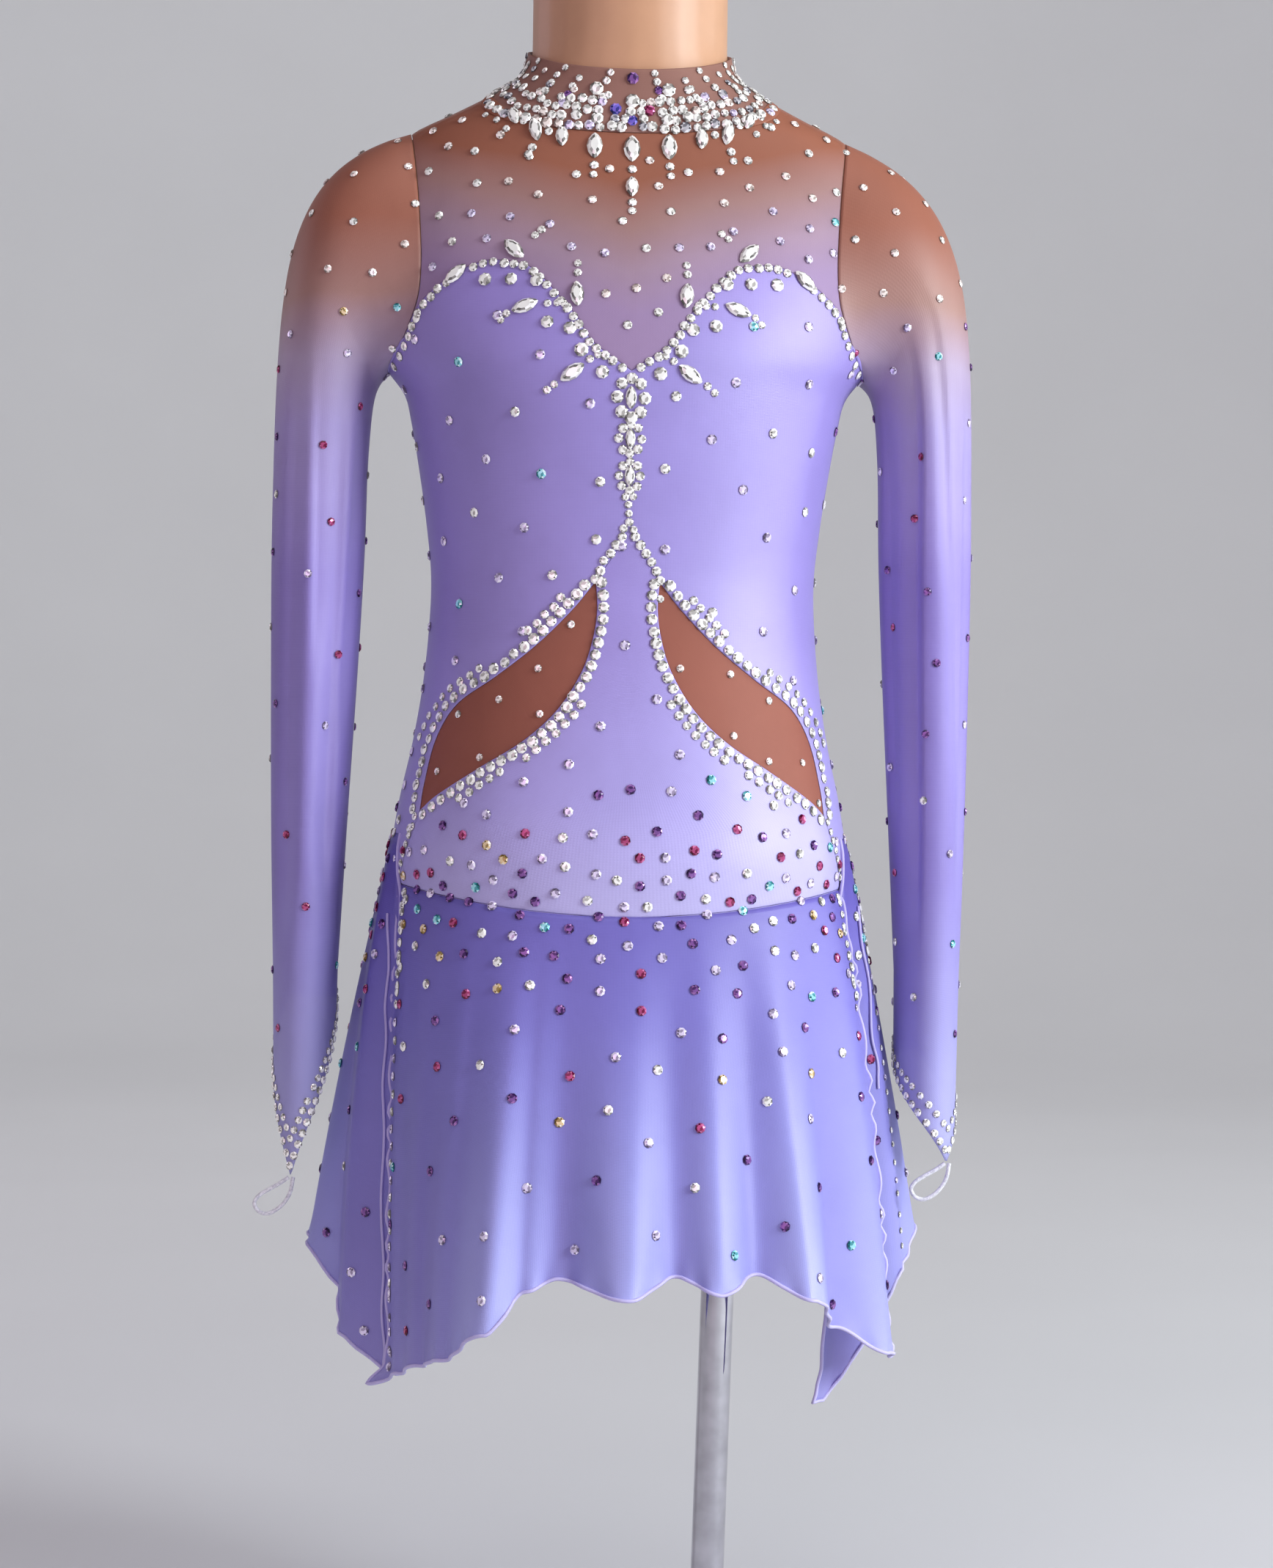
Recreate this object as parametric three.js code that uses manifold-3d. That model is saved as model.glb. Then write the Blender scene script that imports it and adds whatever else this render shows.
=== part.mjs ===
// Child's figure skating dress on a limbless dress form that stands on a pole and a round base.
// Millimetres, +Z up. The origin is the centre of the base's underside, the dress faces -Y, and
// left and right are the wearer's, so the left side is +X. Every cloth piece is a thin wall on one
// figure, parted from its neighbours by a seam gap.
import * as THREE from "three";
import { mergeVertices } from "three/addons/utils/BufferGeometryUtils.js";
import Module from "manifold-3d";

const wasm = await Module();
wasm.setup();

// ---- Driving dimensions ------------------------------------------------------------------

const CLOTH = 1.0; // thickness of every cloth wall
const SEAM = 0.3; // gap between two pieces that are sewn together
const FORM_CLEAR = 1.5; // air between the cloth and the dress form
const FORM_INSET = CLOTH + FORM_CLEAR;

const HIP_Z = 412; // the figure's sections start here and the closed bowl of the seat lies below
const BOWL_DEPTH = 60;
const BOWL_ROUNDNESS = 2.3; // 2 is an ellipsoid, more is boxier
const NECK_TOP_Z = 922;

// The figure, measured over the cloth: half width, depth to the front and to the back, and how
// square each section is (2 is an ellipse).
const FIGURE = [
  { z: 412, half: 121.0, front: 91.0, back: 103.0, square: 2.15 },
  { z: 440, half: 123.5, front: 93.0, back: 104.0, square: 2.15 },
  { z: 470, half: 119.5, front: 90.0, back: 99.0, square: 2.15 },
  { z: 500, half: 113.0, front: 86.0, back: 90.0, square: 2.15 },
  { z: 530, half: 108.0, front: 82.0, back: 82.0, square: 2.15 },
  { z: 560, half: 105.0, front: 79.0, back: 76.0, square: 2.15 },
  { z: 590, half: 104.0, front: 77.0, back: 73.5, square: 2.15 },
  { z: 620, half: 107.0, front: 79.0, back: 75.0, square: 2.15 },
  { z: 650, half: 111.5, front: 83.0, back: 80.0, square: 2.15 },
  { z: 675, half: 116.0, front: 86.0, back: 84.0, square: 2.15 },
  { z: 690, half: 120.0, front: 87.0, back: 86.0, square: 2.15 },
  { z: 703, half: 129.5, front: 87.0, back: 87.0, square: 2.1 },
  { z: 718, half: 136.0, front: 85.0, back: 87.5, square: 2.05 },
  { z: 740, half: 140.0, front: 80.0, back: 86.0, square: 2 },
  { z: 765, half: 141.5, front: 72.0, back: 82.0, square: 2 },
  { z: 790, half: 140.0, front: 62.0, back: 75.0, square: 2 },
  { z: 810, half: 134.0, front: 54.0, back: 67.0, square: 2 },
  { z: 822, half: 126.5, front: 50.5, back: 61.5, square: 2 },
  { z: 831, half: 116.5, front: 49.5, back: 57.5, square: 2 },
  { z: 840, half: 98.0, front: 49.0, back: 54.0, square: 2 },
  { z: 848, half: 82.0, front: 49.0, back: 51.5, square: 2 },
  { z: 854, half: 71.0, front: 49.5, back: 50.0, square: 2 },
  { z: 859, half: 63.0, front: 49.8, back: 49.3, square: 2 },
  { z: 865, half: 58.0, front: 50.0, back: 48.8, square: 2 },
  { z: 874, half: 55.8, front: 50.2, back: 48.4, square: 2 },
  { z: 890, half: 54.6, front: 50.2, back: 48.0, square: 2 },
  { z: 922, half: 54.0, front: 50.0, back: 47.5, square: 2 },
];

// Heights of the rows of facets on the bodice and the form, and shares of the bowl's depth.
const BODICE_ROWS = [
  411, 435, 462, 500, 545, 590, 635, 670, 686, 698, 711, 735, 768, 796, 812, 822, 830, 837, 844,
];
const BOWL_ROWS = [0.997, 0.88, 0.66, 0.4, 0.18, 0.06];

// Seams, as heights that turn smoothly from the centre front to the centre back.
const COLLAR_BASE = { front: 824, back: 860, turn: 2.6 };
const COLLAR_TOP = { front: 858, back: 886, turn: 1.6 };
const LOW_SEAM = { front: 411.5, back: 428, turn: 4 }; // where the bodice meets the brief
const SKIRT_TOP_Z = 452; // the skirt's back panel is lapped on the bodice here
const SLIT_ANGLE = 73; // degrees from the centre front to each side slit of the skirt
const BACK_YOKE = { centre: 704, side: 728 };

// Front view outlines, from the centre to the wearer's left: [x, z].
const SWEETHEART = [
  [0, 693.5], [20, 708.4], [28.2, 721.4], [37, 732.4], [52, 748.6],
  [64.4, 752.2], [75.7, 752.7], [91.8, 746.4], [106.7, 735.5], [113.2, 727.7],
];
const ARMHOLE = [
  [122.5, 848], [118, 831], [113.5, 800], [111, 770], [110.5, 750],
  [112, 735], [117, 720], [122.5, 709], [129, 700.5],
];
const LEAF_UPPER = [
  [16.7, 585], [27.6, 571.3], [46.8, 552], [68.5, 535], [88.7, 520.6],
  [99.3, 503.2], [105.5, 478.5], [107.5, 464.5],
];
const LEAF_LOWER = [
  [16.7, 585], [15.8, 571], [17.5, 557], [23, 539], [35.5, 518.5],
  [53, 502], [76, 487.5], [99.5, 472], [107.5, 464.5],
];
const PANEL_PEAK_Z = 612; // top of the lower front panel, between the two leaf insets
const PANEL_SIDE = [[107.5, 464.5], [112.5, 450], [116.5, 436], [118.5, 420], [119, 395]];
const LEG_OPENING = [[27, 330], [27, 364], [50, 388], [80, 406], [108, 418], [135, 424]];

// The sleeve as rings that turn about the underarm and then hang level. Each ring runs from an
// inner to an outer point in the front view and reaches this far to the front and the back.
const SLEEVE = [
  { inX: 129.0, inZ: 700.5, outX: 118.0, outZ: 831.0, front: 41.0, back: 46.0 },
  { inX: 130.4, inZ: 698.6, outX: 131.5, outZ: 826.5, front: 42.0, back: 46.5 },
  { inX: 131.7, inZ: 696.8, outX: 146.0, outZ: 819.0, front: 42.5, back: 46.5 },
  { inX: 132.9, inZ: 695.0, outX: 159.0, outZ: 808.5, front: 42.5, back: 46.0 },
  { inX: 134.0, inZ: 693.0, outX: 169.5, outZ: 795.0, front: 42.0, back: 45.0 },
  { inX: 134.9, inZ: 690.8, outX: 177.5, outZ: 778.0, front: 41.0, back: 43.5 },
  { inX: 135.7, inZ: 688.0, outX: 183.0, outZ: 758.0, front: 40.0, back: 42.0 },
  { inX: 136.5, inZ: 684.0, outX: 186.3, outZ: 735.0, front: 39.0, back: 40.5 },
  { inX: 137.3, inZ: 677.5, outX: 188.3, outZ: 709.0, front: 38.0, back: 39.0 },
  { inX: 138.2, inZ: 666.0, outX: 189.4, outZ: 681.0, front: 37.0, back: 38.0 },
  { inX: 139.2, inZ: 646.0, outX: 190.0, outZ: 650.0, front: 36.0, back: 37.0 },
  { inX: 140.2, inZ: 600.0, outX: 190.4, outZ: 600.0, front: 35.3, back: 35.6 },
  { inX: 143.2, inZ: 535.0, outX: 189.8, outZ: 535.0, front: 34.0, back: 34.0 },
  { inX: 147.6, inZ: 455.0, outX: 188.6, outZ: 455.0, front: 32.0, back: 31.5 },
  { inX: 151.6, inZ: 380.0, outX: 186.6, outZ: 380.0, front: 29.0, back: 28.5 },
];
const LEFT_SHOULDER_DROP = 5; // the wearer's left shoulder sits this much lower
const SLEEVE_CAP_RINGS = 8; // the first rings, which the form's shoulder fills
const CUFF_RINGS = 3;
const SLEEVE_SIDES = 20;

// The pointed cuffs. The point lies at a turn (in sides from the outer side, to the front) and
// the edge climbs from it to its highest within the reach (degrees).
const CUFF = { inX: 152, outX: 185.5, front: 27.5, back: 27 };
const CUFF_EDGE = {
  left: { highZ: 335, tipZ: 278, tipSide: 3, reach: 150 },
  right: { highZ: 362, tipZ: 268, tipSide: 4, reach: 122 },
};

// Long soft folds of each sleeve: where round the sleeve (degrees from the outer side, to the
// front), how deep, how wide, and the heights between which they run.
const SLEEVE_FOLDS = {
  left: [
    { turn: 62, depth: 3.4, width: 20, top: 735, bottom: 380 },
    { turn: 118, depth: 4.0, width: 22, top: 720, bottom: 400 },
    { turn: 230, depth: 3.0, width: 24, top: 700, bottom: 420 },
  ],
  right: [
    { turn: 30, depth: 2.8, width: 16, top: 720, bottom: 400 },
    { turn: 100, depth: 3.2, width: 24, top: 730, bottom: 410 },
    { turn: 250, depth: 3.0, width: 24, top: 700, bottom: 420 },
  ],
};

// The skirt's folds: angle from the centre front (degrees, to the wearer's left), how far the
// cloth stands out from the hip at the hem, and the height of the hem there. An edge that hangs
// straighter than the rest takes only a share (hang) of the bow between the hip and the hem.
const SKIRT_FRONT = [
  { angle: -73, out: 3, hem: 158, hang: 0.25 },
  { angle: -61, out: 8, hem: 168, hang: 0.6 },
  { angle: -47, out: 18, hem: 177 },
  { angle: -36, out: 34, hem: 185 },
  { angle: -24, out: 57, hem: 203 },
  { angle: -18, out: 42, hem: 223 },
  { angle: -12, out: 33, hem: 229 },
  { angle: 1, out: 54, hem: 221 },
  { angle: 10, out: 36, hem: 231 },
  { angle: 18, out: 52, hem: 223 },
  { angle: 27, out: 36, hem: 231 },
  { angle: 36, out: 57, hem: 219 },
  { angle: 48, out: 30, hem: 200 },
  { angle: 61, out: 40, hem: 184 },
  { angle: 73, out: 29, hem: 176 },
];
const SKIRT_BACK = [
  { angle: 73, out: 0.6, hem: 152, hang: 0.5 },
  { angle: 84, out: 34, hem: 222 },
  { angle: 94, out: 45, hem: 244 },
  { angle: 108, out: 30, hem: 244 },
  { angle: 124, out: 54, hem: 235 },
  { angle: 140, out: 32, hem: 243 },
  { angle: 157, out: 52, hem: 233 },
  { angle: 173, out: 33, hem: 242 },
  { angle: 190, out: 55, hem: 232 },
  { angle: 206, out: 34, hem: 241 },
  { angle: 223, out: 52, hem: 233 },
  { angle: 239, out: 31, hem: 240 },
  { angle: 254, out: 50, hem: 230 },
  { angle: 266, out: 41, hem: 226 },
  { angle: 271, out: 33, hem: 208 },
  { angle: 277, out: 20, hem: 183 },
  { angle: 287, out: 3, hem: 164, hang: 0.35 },
];
const SKIRT_MEAN_OUT = 42;
const SKIRT_FULL_BOW = 1; // the share of a fold whose row gives no hang
const SKIRT_REFERENCE_DROP = 227; // the drop at which the cloth has come out by its full amount

// The elastic finger loops, from the cuff's point: [x, z].
const LOOP = {
  radius: 1.1,
  route: [
    [-0.9, 1], [-6, -2.6], [-12, -6], [-17, -9.4], [-19, -13], [-17, -17],
    [-12.5, -18.6], [-7.5, -16.6], [-3, -12.4], [0, -7], [1.5, 1],
  ],
};

// Marquise stones: front view place and lean of the long axis, length and width, and how far
// below the figure's curve the flat of cloth under the stone lies.
const BUST_STONES = [
  { x: 92, z: 746, lean: -35, long: 15, wide: 7.5, seat: 0.7 },
  { x: 61.5, z: 758.5, lean: 46, long: 15, wide: 7.5, seat: 0.4 },
  { x: 55.5, z: 727.5, lean: -18, long: 15, wide: 7.5, seat: 0.55 },
  { x: 28.5, z: 733.8, lean: 84, long: 14, wide: 7.5, seat: 0.9 },
  { x: 30.5, z: 692.5, lean: -35, long: 15, wide: 7.5, seat: 0.65 },
];
const COLLAR_STONES = [
  { x: 19.7, z: 816.5, lean: 90, long: 15, wide: 8.5, seat: 0 },
  { x: 37, z: 822, lean: 86, long: 12, wide: 7, seat: 0.1 },
  { x: 51, z: 826, lean: 78, long: 14, wide: 7, seat: 0.15 },
  { x: 62.3, z: 833.5, lean: 68, long: 11, wide: 6.5, seat: 0.4 },
];
const CENTRE_STONES = [
  { x: 0, z: 815, lean: 90, long: 15.5, wide: 9, seat: 0 },
  { x: 0, z: 793.5, lean: 90, long: 12.5, wide: 7, seat: 0.35 },
  { x: 0, z: 679.7, lean: 90, long: 12, wide: 6, seat: 0.4 },
  { x: 0, z: 658.7, lean: 90, long: 11, wide: 5.5, seat: 0.35 },
  { x: 0, z: 639.7, lean: 90, long: 11, wide: 5.5, seat: 0.33 },
];
const STONE = { lift: 0.7, girdle: 0.9, height: 2.9, table: 0.5, corners: 6 };

// The stand. The pole leans a little and enters the form beside the brief's crotch.
const BASE = { radius: 140, height: 8, edge: 3, segments: 32 };
const POLE = { radius: 9, footX: 52.5, leanDegrees: 1.3, topZ: 398, segments: 18 };
const SOCKET = { radius: 22, height: 20, bore: 9.9, segments: 24 };
const POLE_HOLE_CLEAR = 0.5;

// ---- Small tools -------------------------------------------------------------------------

const radians = THREE.MathUtils.degToRad;
const mix = (from, to, share) => from + (to - from) * share;
const clamp01 = (value) => Math.min(1, Math.max(0, value));
const smooth = (share) => share * share * (3 - 2 * share);

// One column of a table at a place between its rows, on a smooth curve through the rows.
function sample(rows, key, column, at) {
  const last = rows.length - 1;
  const place = Math.min(Math.max(at, rows[0][key]), rows[last][key]);
  let i = 0;
  while (i < last - 1 && rows[i + 1][key] < place) i += 1;
  const slope = (j) => {
    const before = rows[Math.max(j - 1, 0)];
    const after = rows[Math.min(j + 1, last)];
    return (after[column] - before[column]) / (after[key] - before[key]);
  };
  const span = rows[i + 1][key] - rows[i][key];
  const t = (place - rows[i][key]) / span;
  const t2 = t * t;
  const t3 = t2 * t;
  return (
    rows[i][column] * (2 * t3 - 3 * t2 + 1) +
    rows[i + 1][column] * (3 * t2 - 2 * t3) +
    slope(i) * span * (t3 - 2 * t2 + t) +
    slope(i + 1) * span * (t3 - t2)
  );
}

// One column of a fold table: each row is a crest or a trough, with an eased run between them.
function foldAt(rows, column, angle) {
  const last = rows.length - 1;
  const place = Math.min(Math.max(angle, rows[0].angle), rows[last].angle);
  let i = 0;
  while (i < last - 1 && rows[i + 1].angle < place) i += 1;
  const share = (place - rows[i].angle) / (rows[i + 1].angle - rows[i].angle);
  const value = (row) => row[column] ?? SKIRT_FULL_BOW;
  return mix(value(rows[i]), value(rows[i + 1]), smooth(share));
}

const vector = (x, y, z) => new THREE.Vector3(x, y, z);

// A geometry as a manifold solid.
function solid(geometry) {
  const bare = new THREE.BufferGeometry();
  bare.setAttribute("position", geometry.getAttribute("position"));
  if (geometry.index) bare.setIndex(geometry.index);
  const merged = mergeVertices(bare, 1e-4);
  return new wasm.Manifold(
    new wasm.Mesh({
      numProp: 3,
      vertProperties: new Float32Array(merged.attributes.position.array),
      triVerts: new Uint32Array(merged.index.array),
    }),
  );
}

// A solid's largest body as a geometry: slivers that a cut leaves behind are dropped.
function geometryOf(shape) {
  const bodies = shape.decompose();
  const body = bodies.reduce((best, b) => (b.volume() > best.volume() ? b : best));
  const mesh = body.getMesh();
  const places = new Float32Array(mesh.numVert * 3);
  for (let i = 0; i < mesh.numVert; i += 1) {
    places.set(mesh.vertProperties.subarray(i * mesh.numProp, i * mesh.numProp + 3), i * 3);
  }
  return new THREE.BufferGeometry()
    .setAttribute("position", new THREE.BufferAttribute(places, 3))
    .setIndex(new THREE.BufferAttribute(new Uint32Array(mesh.triVerts), 1));
}

// A closed wall between two skins of the same grid. skin(i, j, inner) gives a point; the columns
// i run to the wearer's left seen from the front and the rows j run up.
function wall(columns, rows, closed, skin) {
  const across = closed ? columns : columns + 1;
  const points = [];
  const faces = [];
  for (const inner of [false, true]) {
    for (let j = 0; j <= rows; j += 1) {
      for (let i = 0; i < across; i += 1) points.push(...skin(i, j, inner).toArray());
    }
  }
  const layer = across * (rows + 1);
  const at = (i, j, inner) => (inner ? layer : 0) + j * across + (i % across);
  const quad = (a, b, c, d) => faces.push(a, b, c, a, c, d);
  for (let j = 0; j < rows; j += 1) {
    for (let i = 0; i < columns; i += 1) {
      quad(at(i, j, false), at(i + 1, j, false), at(i + 1, j + 1, false), at(i, j + 1, false));
      quad(at(i, j, true), at(i, j + 1, true), at(i + 1, j + 1, true), at(i + 1, j, true));
    }
  }
  for (let i = 0; i < columns; i += 1) {
    quad(at(i, 0, true), at(i + 1, 0, true), at(i + 1, 0, false), at(i, 0, false));
    quad(at(i, rows, false), at(i + 1, rows, false), at(i + 1, rows, true), at(i, rows, true));
  }
  if (!closed) {
    for (let j = 0; j < rows; j += 1) {
      quad(at(0, j, false), at(0, j + 1, false), at(0, j + 1, true), at(0, j, true));
      quad(
        at(columns, j, true), at(columns, j + 1, true),
        at(columns, j + 1, false), at(columns, j, false),
      );
    }
  }
  const geometry = new THREE.BufferGeometry()
    .setAttribute("position", new THREE.Float32BufferAttribute(points, 3))
    .setIndex(faces);
  return solid(geometry);
}

// A closed solid through rings of equal count, each a list of points, capped at both ends.
function loft(rings) {
  const count = rings[0].length;
  const points = rings.flat().flatMap((p) => p.toArray());
  const middle = (ring) =>
    ring.reduce((sum, p) => sum.add(p), vector(0, 0, 0)).divideScalar(count);
  points.push(...middle(rings[0]).toArray(), ...middle(rings.at(-1)).toArray());
  const faces = [];
  for (let i = 0; i < count; i += 1) {
    const next = (i + 1) % count;
    for (let j = 0; j < rings.length - 1; j += 1) {
      const low = j * count;
      const high = low + count;
      faces.push(low + i, low + next, high + next, low + i, high + next, high + i);
    }
    const top = (rings.length - 1) * count;
    faces.push(rings.length * count, next, i, rings.length * count + 1, top + i, top + next);
  }
  return solid(
    new THREE.BufferGeometry()
      .setAttribute("position", new THREE.Float32BufferAttribute(points, 3))
      .setIndex(faces),
  );
}

// A front view outline, as points on a smooth line through a short table.
function smoothLine(table, steps) {
  const line = new THREE.SplineCurve(table.map(([x, z]) => new THREE.Vector2(x, z)));
  return line.getPoints(steps).map((p) => [p.x, p.y]);
}

const mirrored = (points) => points.map(([x, z]) => [-x, z]);

// An outline moved outwards by a distance (inwards if it is negative).
function grown(outline, distance) {
  const area = outline.reduce((sum, [x, z], i) => {
    const [nextX, nextZ] = outline[(i + 1) % outline.length];
    return sum + x * nextZ - nextX * z;
  }, 0);
  const side = area > 0 ? 1 : -1;
  const normals = outline.map(([x, z], i) => {
    const [nextX, nextZ] = outline[(i + 1) % outline.length];
    return new THREE.Vector2(side * (nextZ - z), side * (x - nextX)).normalize();
  });
  return outline.map(([x, z], i) => {
    const before = normals[(i + outline.length - 1) % outline.length];
    const corner = before.clone().add(normals[i]).normalize();
    const reach = distance / Math.max(0.5, corner.dot(before));
    return [x + corner.x * reach, z + corner.y * reach];
  });
}

// A front view outline [x, z] as a prism that runs along Y from one depth to another.
function prism(outline, fromY, toY) {
  const shape = new THREE.Shape(outline.map(([x, z]) => new THREE.Vector2(x, z)));
  const geometry = new THREE.ExtrudeGeometry(shape, { depth: toY - fromY, bevelEnabled: false });
  return solid(geometry.rotateX(Math.PI / 2).translate(0, toY, 0));
}

// ---- The figure --------------------------------------------------------------------------

const turning = (seam, angle) =>
  seam.back + (seam.front - seam.back) * ((1 + Math.cos(angle)) / 2) ** seam.turn;

const power = (value, exponent) => Math.sign(value) * Math.abs(value) ** exponent;

// The point over the cloth at an angle from the centre front and a level. Above HIP_Z the level
// is the height. Below, it runs down to the middle of the seat at HIP_Z - BOWL_DEPTH.
function figure(angle, level) {
  const bowl = clamp01((HIP_Z - level) / BOWL_DEPTH) * (Math.PI / 2);
  const shrink = Math.cos(bowl) ** (2 / BOWL_ROUNDNESS);
  const column = (name) => sample(FIGURE, "z", name, level);
  const ease = 2 / column("square");
  const depth = Math.cos(angle) > 0 ? column("front") : column("back");
  const z = level < HIP_Z ? HIP_Z - BOWL_DEPTH * Math.sin(bowl) ** (2 / BOWL_ROUNDNESS) : level;
  return vector(
    column("half") * shrink * power(Math.sin(angle), ease),
    -depth * shrink * power(Math.cos(angle), ease),
    z,
  );
}

// The same point moved along the figure's normal.
function onFigure(angle, level, out) {
  const step = 1e-3;
  const across = figure(angle + step, level).sub(figure(angle - step, level));
  const up = figure(angle, level + step * 50).sub(figure(angle, level - step * 50));
  return figure(angle, level).addScaledVector(across.cross(up).normalize(), out);
}

// The angle on the front at which the figure's section has this x.
function angleOf(x, z) {
  const share = Math.min(1, Math.abs(x) / sample(FIGURE, "z", "half", z));
  return Math.sign(x) * Math.asin(share ** (sample(FIGURE, "z", "square", z) / 2));
}

// A wall on the figure between two angles (degrees) and two heights that depend on the angle.
// Its rows stand at the given heights, squeezed to fit between those two.
function figureWall(columns, levels, angles, bottom, top) {
  const [from, to] = angles.map(radians);
  const [low, high] = [levels[0], levels.at(-1)];
  return wall(columns, levels.length - 1, false, (i, j, inner) => {
    const angle = mix(from, to, i / columns);
    const share = (levels[j] - low) / (high - low);
    return onFigure(angle, mix(bottom(angle), top(angle), share), inner ? -CLOTH : 0);
  });
}

// ---- Bodice, yoke and insets -------------------------------------------------------------

const armholeLine = smoothLine(ARMHOLE, 14);
const FAR = 300;

// Everything beyond the armhole seam, a gap away from it.
function beyondArmhole(side, gap) {
  const [topX] = armholeLine[0];
  const [lowX] = armholeLine.at(-1);
  const ends = [[lowX, 200], [FAR, 200], [FAR, 900]];
  const outline = grown([[topX + 4, 900], ...armholeLine, ...ends], -gap);
  return prism(side > 0 ? outline : mirrored(outline), -FAR, FAR);
}

const armholes = beyondArmhole(1, -SEAM / 2).add(beyondArmhole(-1, -SEAM / 2));
const sweetheartHalf = smoothLine(SWEETHEART, 16);

function aboveSweetheart(gap) {
  const line = [...mirrored(sweetheartHalf).reverse(), ...sweetheartHalf.slice(1)];
  const edge = line[0][1];
  const outline = [[-FAR, edge], ...line, [FAR, edge], [FAR, 950], [-FAR, 950]];
  return prism(grown(outline, -gap), -FAR, FAR);
}

const leafUpper = smoothLine(LEAF_UPPER, 12);
const leafLower = smoothLine(LEAF_LOWER, 14);
const leafOutline = [...leafLower, ...leafUpper.slice(1, -1).reverse()];

function leaf(side, gap) {
  const outline = grown(leafOutline, gap);
  return prism(side > 0 ? outline : mirrored(outline), -FAR, 0);
}

const panelHalf = [[5, 603], ...leafLower, ...smoothLine(PANEL_SIDE, 6).slice(1)];

function lowerPanel(gap) {
  const outline = [[0, PANEL_PEAK_Z], ...panelHalf, ...mirrored(panelHalf).reverse()];
  return prism(grown(outline, gap), -FAR, 0);
}

const frontGap = radians(90) - SEAM / 2 / FIGURE[6].front;
const sideDegrees = THREE.MathUtils.radToDeg(frontGap);

const frontWall = figureWall(
  20, BODICE_ROWS, [-sideDegrees, sideDegrees],
  (angle) => turning(LOW_SEAM, angle) + SEAM / 2,
  (angle) => turning(COLLAR_BASE, angle) - SEAM / 2,
).subtract(armholes);

const yokeFront = frontWall.intersect(aboveSweetheart(SEAM / 2));
const satinFront = frontWall.subtract(aboveSweetheart(-SEAM / 2));
const leaves = leaf(1, SEAM / 2).add(leaf(-1, SEAM / 2));
const bodiceFront = satinFront.subtract(leaves).subtract(lowerPanel(SEAM / 2));
const frontPanel = satinFront.subtract(leaves).intersect(lowerPanel(-SEAM / 2));

// The back in two halves, closed edge to edge down the centre back.
function backHalf(side) {
  const middle = 180 - THREE.MathUtils.radToDeg(SEAM / 2 / FIGURE[6].back);
  const span = side > 0 ? [180 - sideDegrees, middle] : [360 - middle, 180 + sideDegrees];
  return figureWall(
    10, BODICE_ROWS, span,
    (angle) => turning(LOW_SEAM, angle) + SEAM / 2,
    (angle) => turning(COLLAR_BASE, angle) - SEAM / 2,
  ).subtract(armholes);
}

function aboveBackYoke(gap) {
  const { centre, side } = BACK_YOKE;
  const half = [0, 30, 60, 90, 118].map((x) => [x, mix(centre, side, smooth(x / 118)) + gap]);
  const line = [...mirrored(half).reverse(), ...half.slice(1)];
  return prism([[-FAR, side + gap], ...line, [FAR, side + gap], [FAR, 950], [-FAR, 950]], -FAR, FAR);
}

// ---- Collar and brief --------------------------------------------------------------------

function collar() {
  const opening = THREE.MathUtils.radToDeg(SEAM / 2 / FIGURE.at(-3).back);
  return figureWall(
    28, [0, 1, 2], [-180 + opening, 180 - opening],
    (angle) => turning(COLLAR_BASE, angle) + SEAM / 2,
    (angle) => turning(COLLAR_TOP, angle),
  );
}

// The brief's outer or inner skin, from the middle of the seat up to the low seam.
function briefSkin(out, above) {
  const ring = (levelAt) =>
    Array.from({ length: 32 }, (_, i) => {
      const angle = (2 * Math.PI * i) / 32;
      return onFigure(angle, levelAt(angle), out);
    });
  return loft([
    ...BOWL_ROWS.map((share) => ring(() => HIP_Z - BOWL_DEPTH * share)),
    ring((angle) => turning(LOW_SEAM, angle) - SEAM / 2 + above),
  ]);
}

function brief() {
  const leg = [...LEG_OPENING, [150, 330]];
  const legs = prism(leg, -FAR, FAR).add(prism(mirrored(leg), -FAR, FAR));
  return briefSkin(0, 0).subtract(briefSkin(-CLOTH, 2)).subtract(legs);
}

// ---- Sleeves -----------------------------------------------------------------------------

// Round a sleeve, turn 0 is the outer side, a quarter turn is the front and half is the inner.
function sleeveTurns() {
  return Array.from({ length: SLEEVE_SIDES }, (_, i) => (2 * Math.PI * i) / SLEEVE_SIDES);
}

// The armhole seam on the figure at a turn, SEAM outside the bodice's edge.
function armholePoint(turn) {
  const { inZ, outZ } = SLEEVE[0];
  const z = mix(inZ, outZ, (1 + Math.cos(turn)) / 2);
  const line = ARMHOLE.map(([x, height]) => ({ x, height })).reverse();
  const x = sample(line, "height", "x", z) + SEAM / 2;
  const angle = angleOf(x, z);
  return figure(Math.sin(turn) > 0 ? angle : Math.PI - angle, z).setX(x);
}

function ellipsePoint(row, turn, inset) {
  const inner = vector(row.inX, 0, row.inZ);
  const outer = vector(row.outX, 0, row.outZ);
  const half = outer.distanceTo(inner) / 2;
  const along = outer.clone().sub(inner).normalize();
  const depth = Math.sin(turn) > 0 ? row.front : row.back;
  return inner
    .add(outer)
    .multiplyScalar(0.5)
    .addScaledVector(along, (half - inset) * Math.cos(turn))
    .add(vector(0, -(depth - inset) * Math.sin(turn), 0));
}

const named = (side) => (side > 0 ? "left" : "right");

function foldDepth(side, turn, z) {
  const degrees = THREE.MathUtils.radToDeg(turn);
  return SLEEVE_FOLDS[named(side)].reduce((sum, fold) => {
    const away = Math.abs(((degrees - fold.turn + 540) % 360) - 180) / fold.width;
    const run = clamp01((fold.top - z) / 90) * clamp01((z - fold.bottom) / 60);
    return sum + fold.depth * Math.exp(-away * away) * smooth(run);
  }, 0);
}

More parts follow.
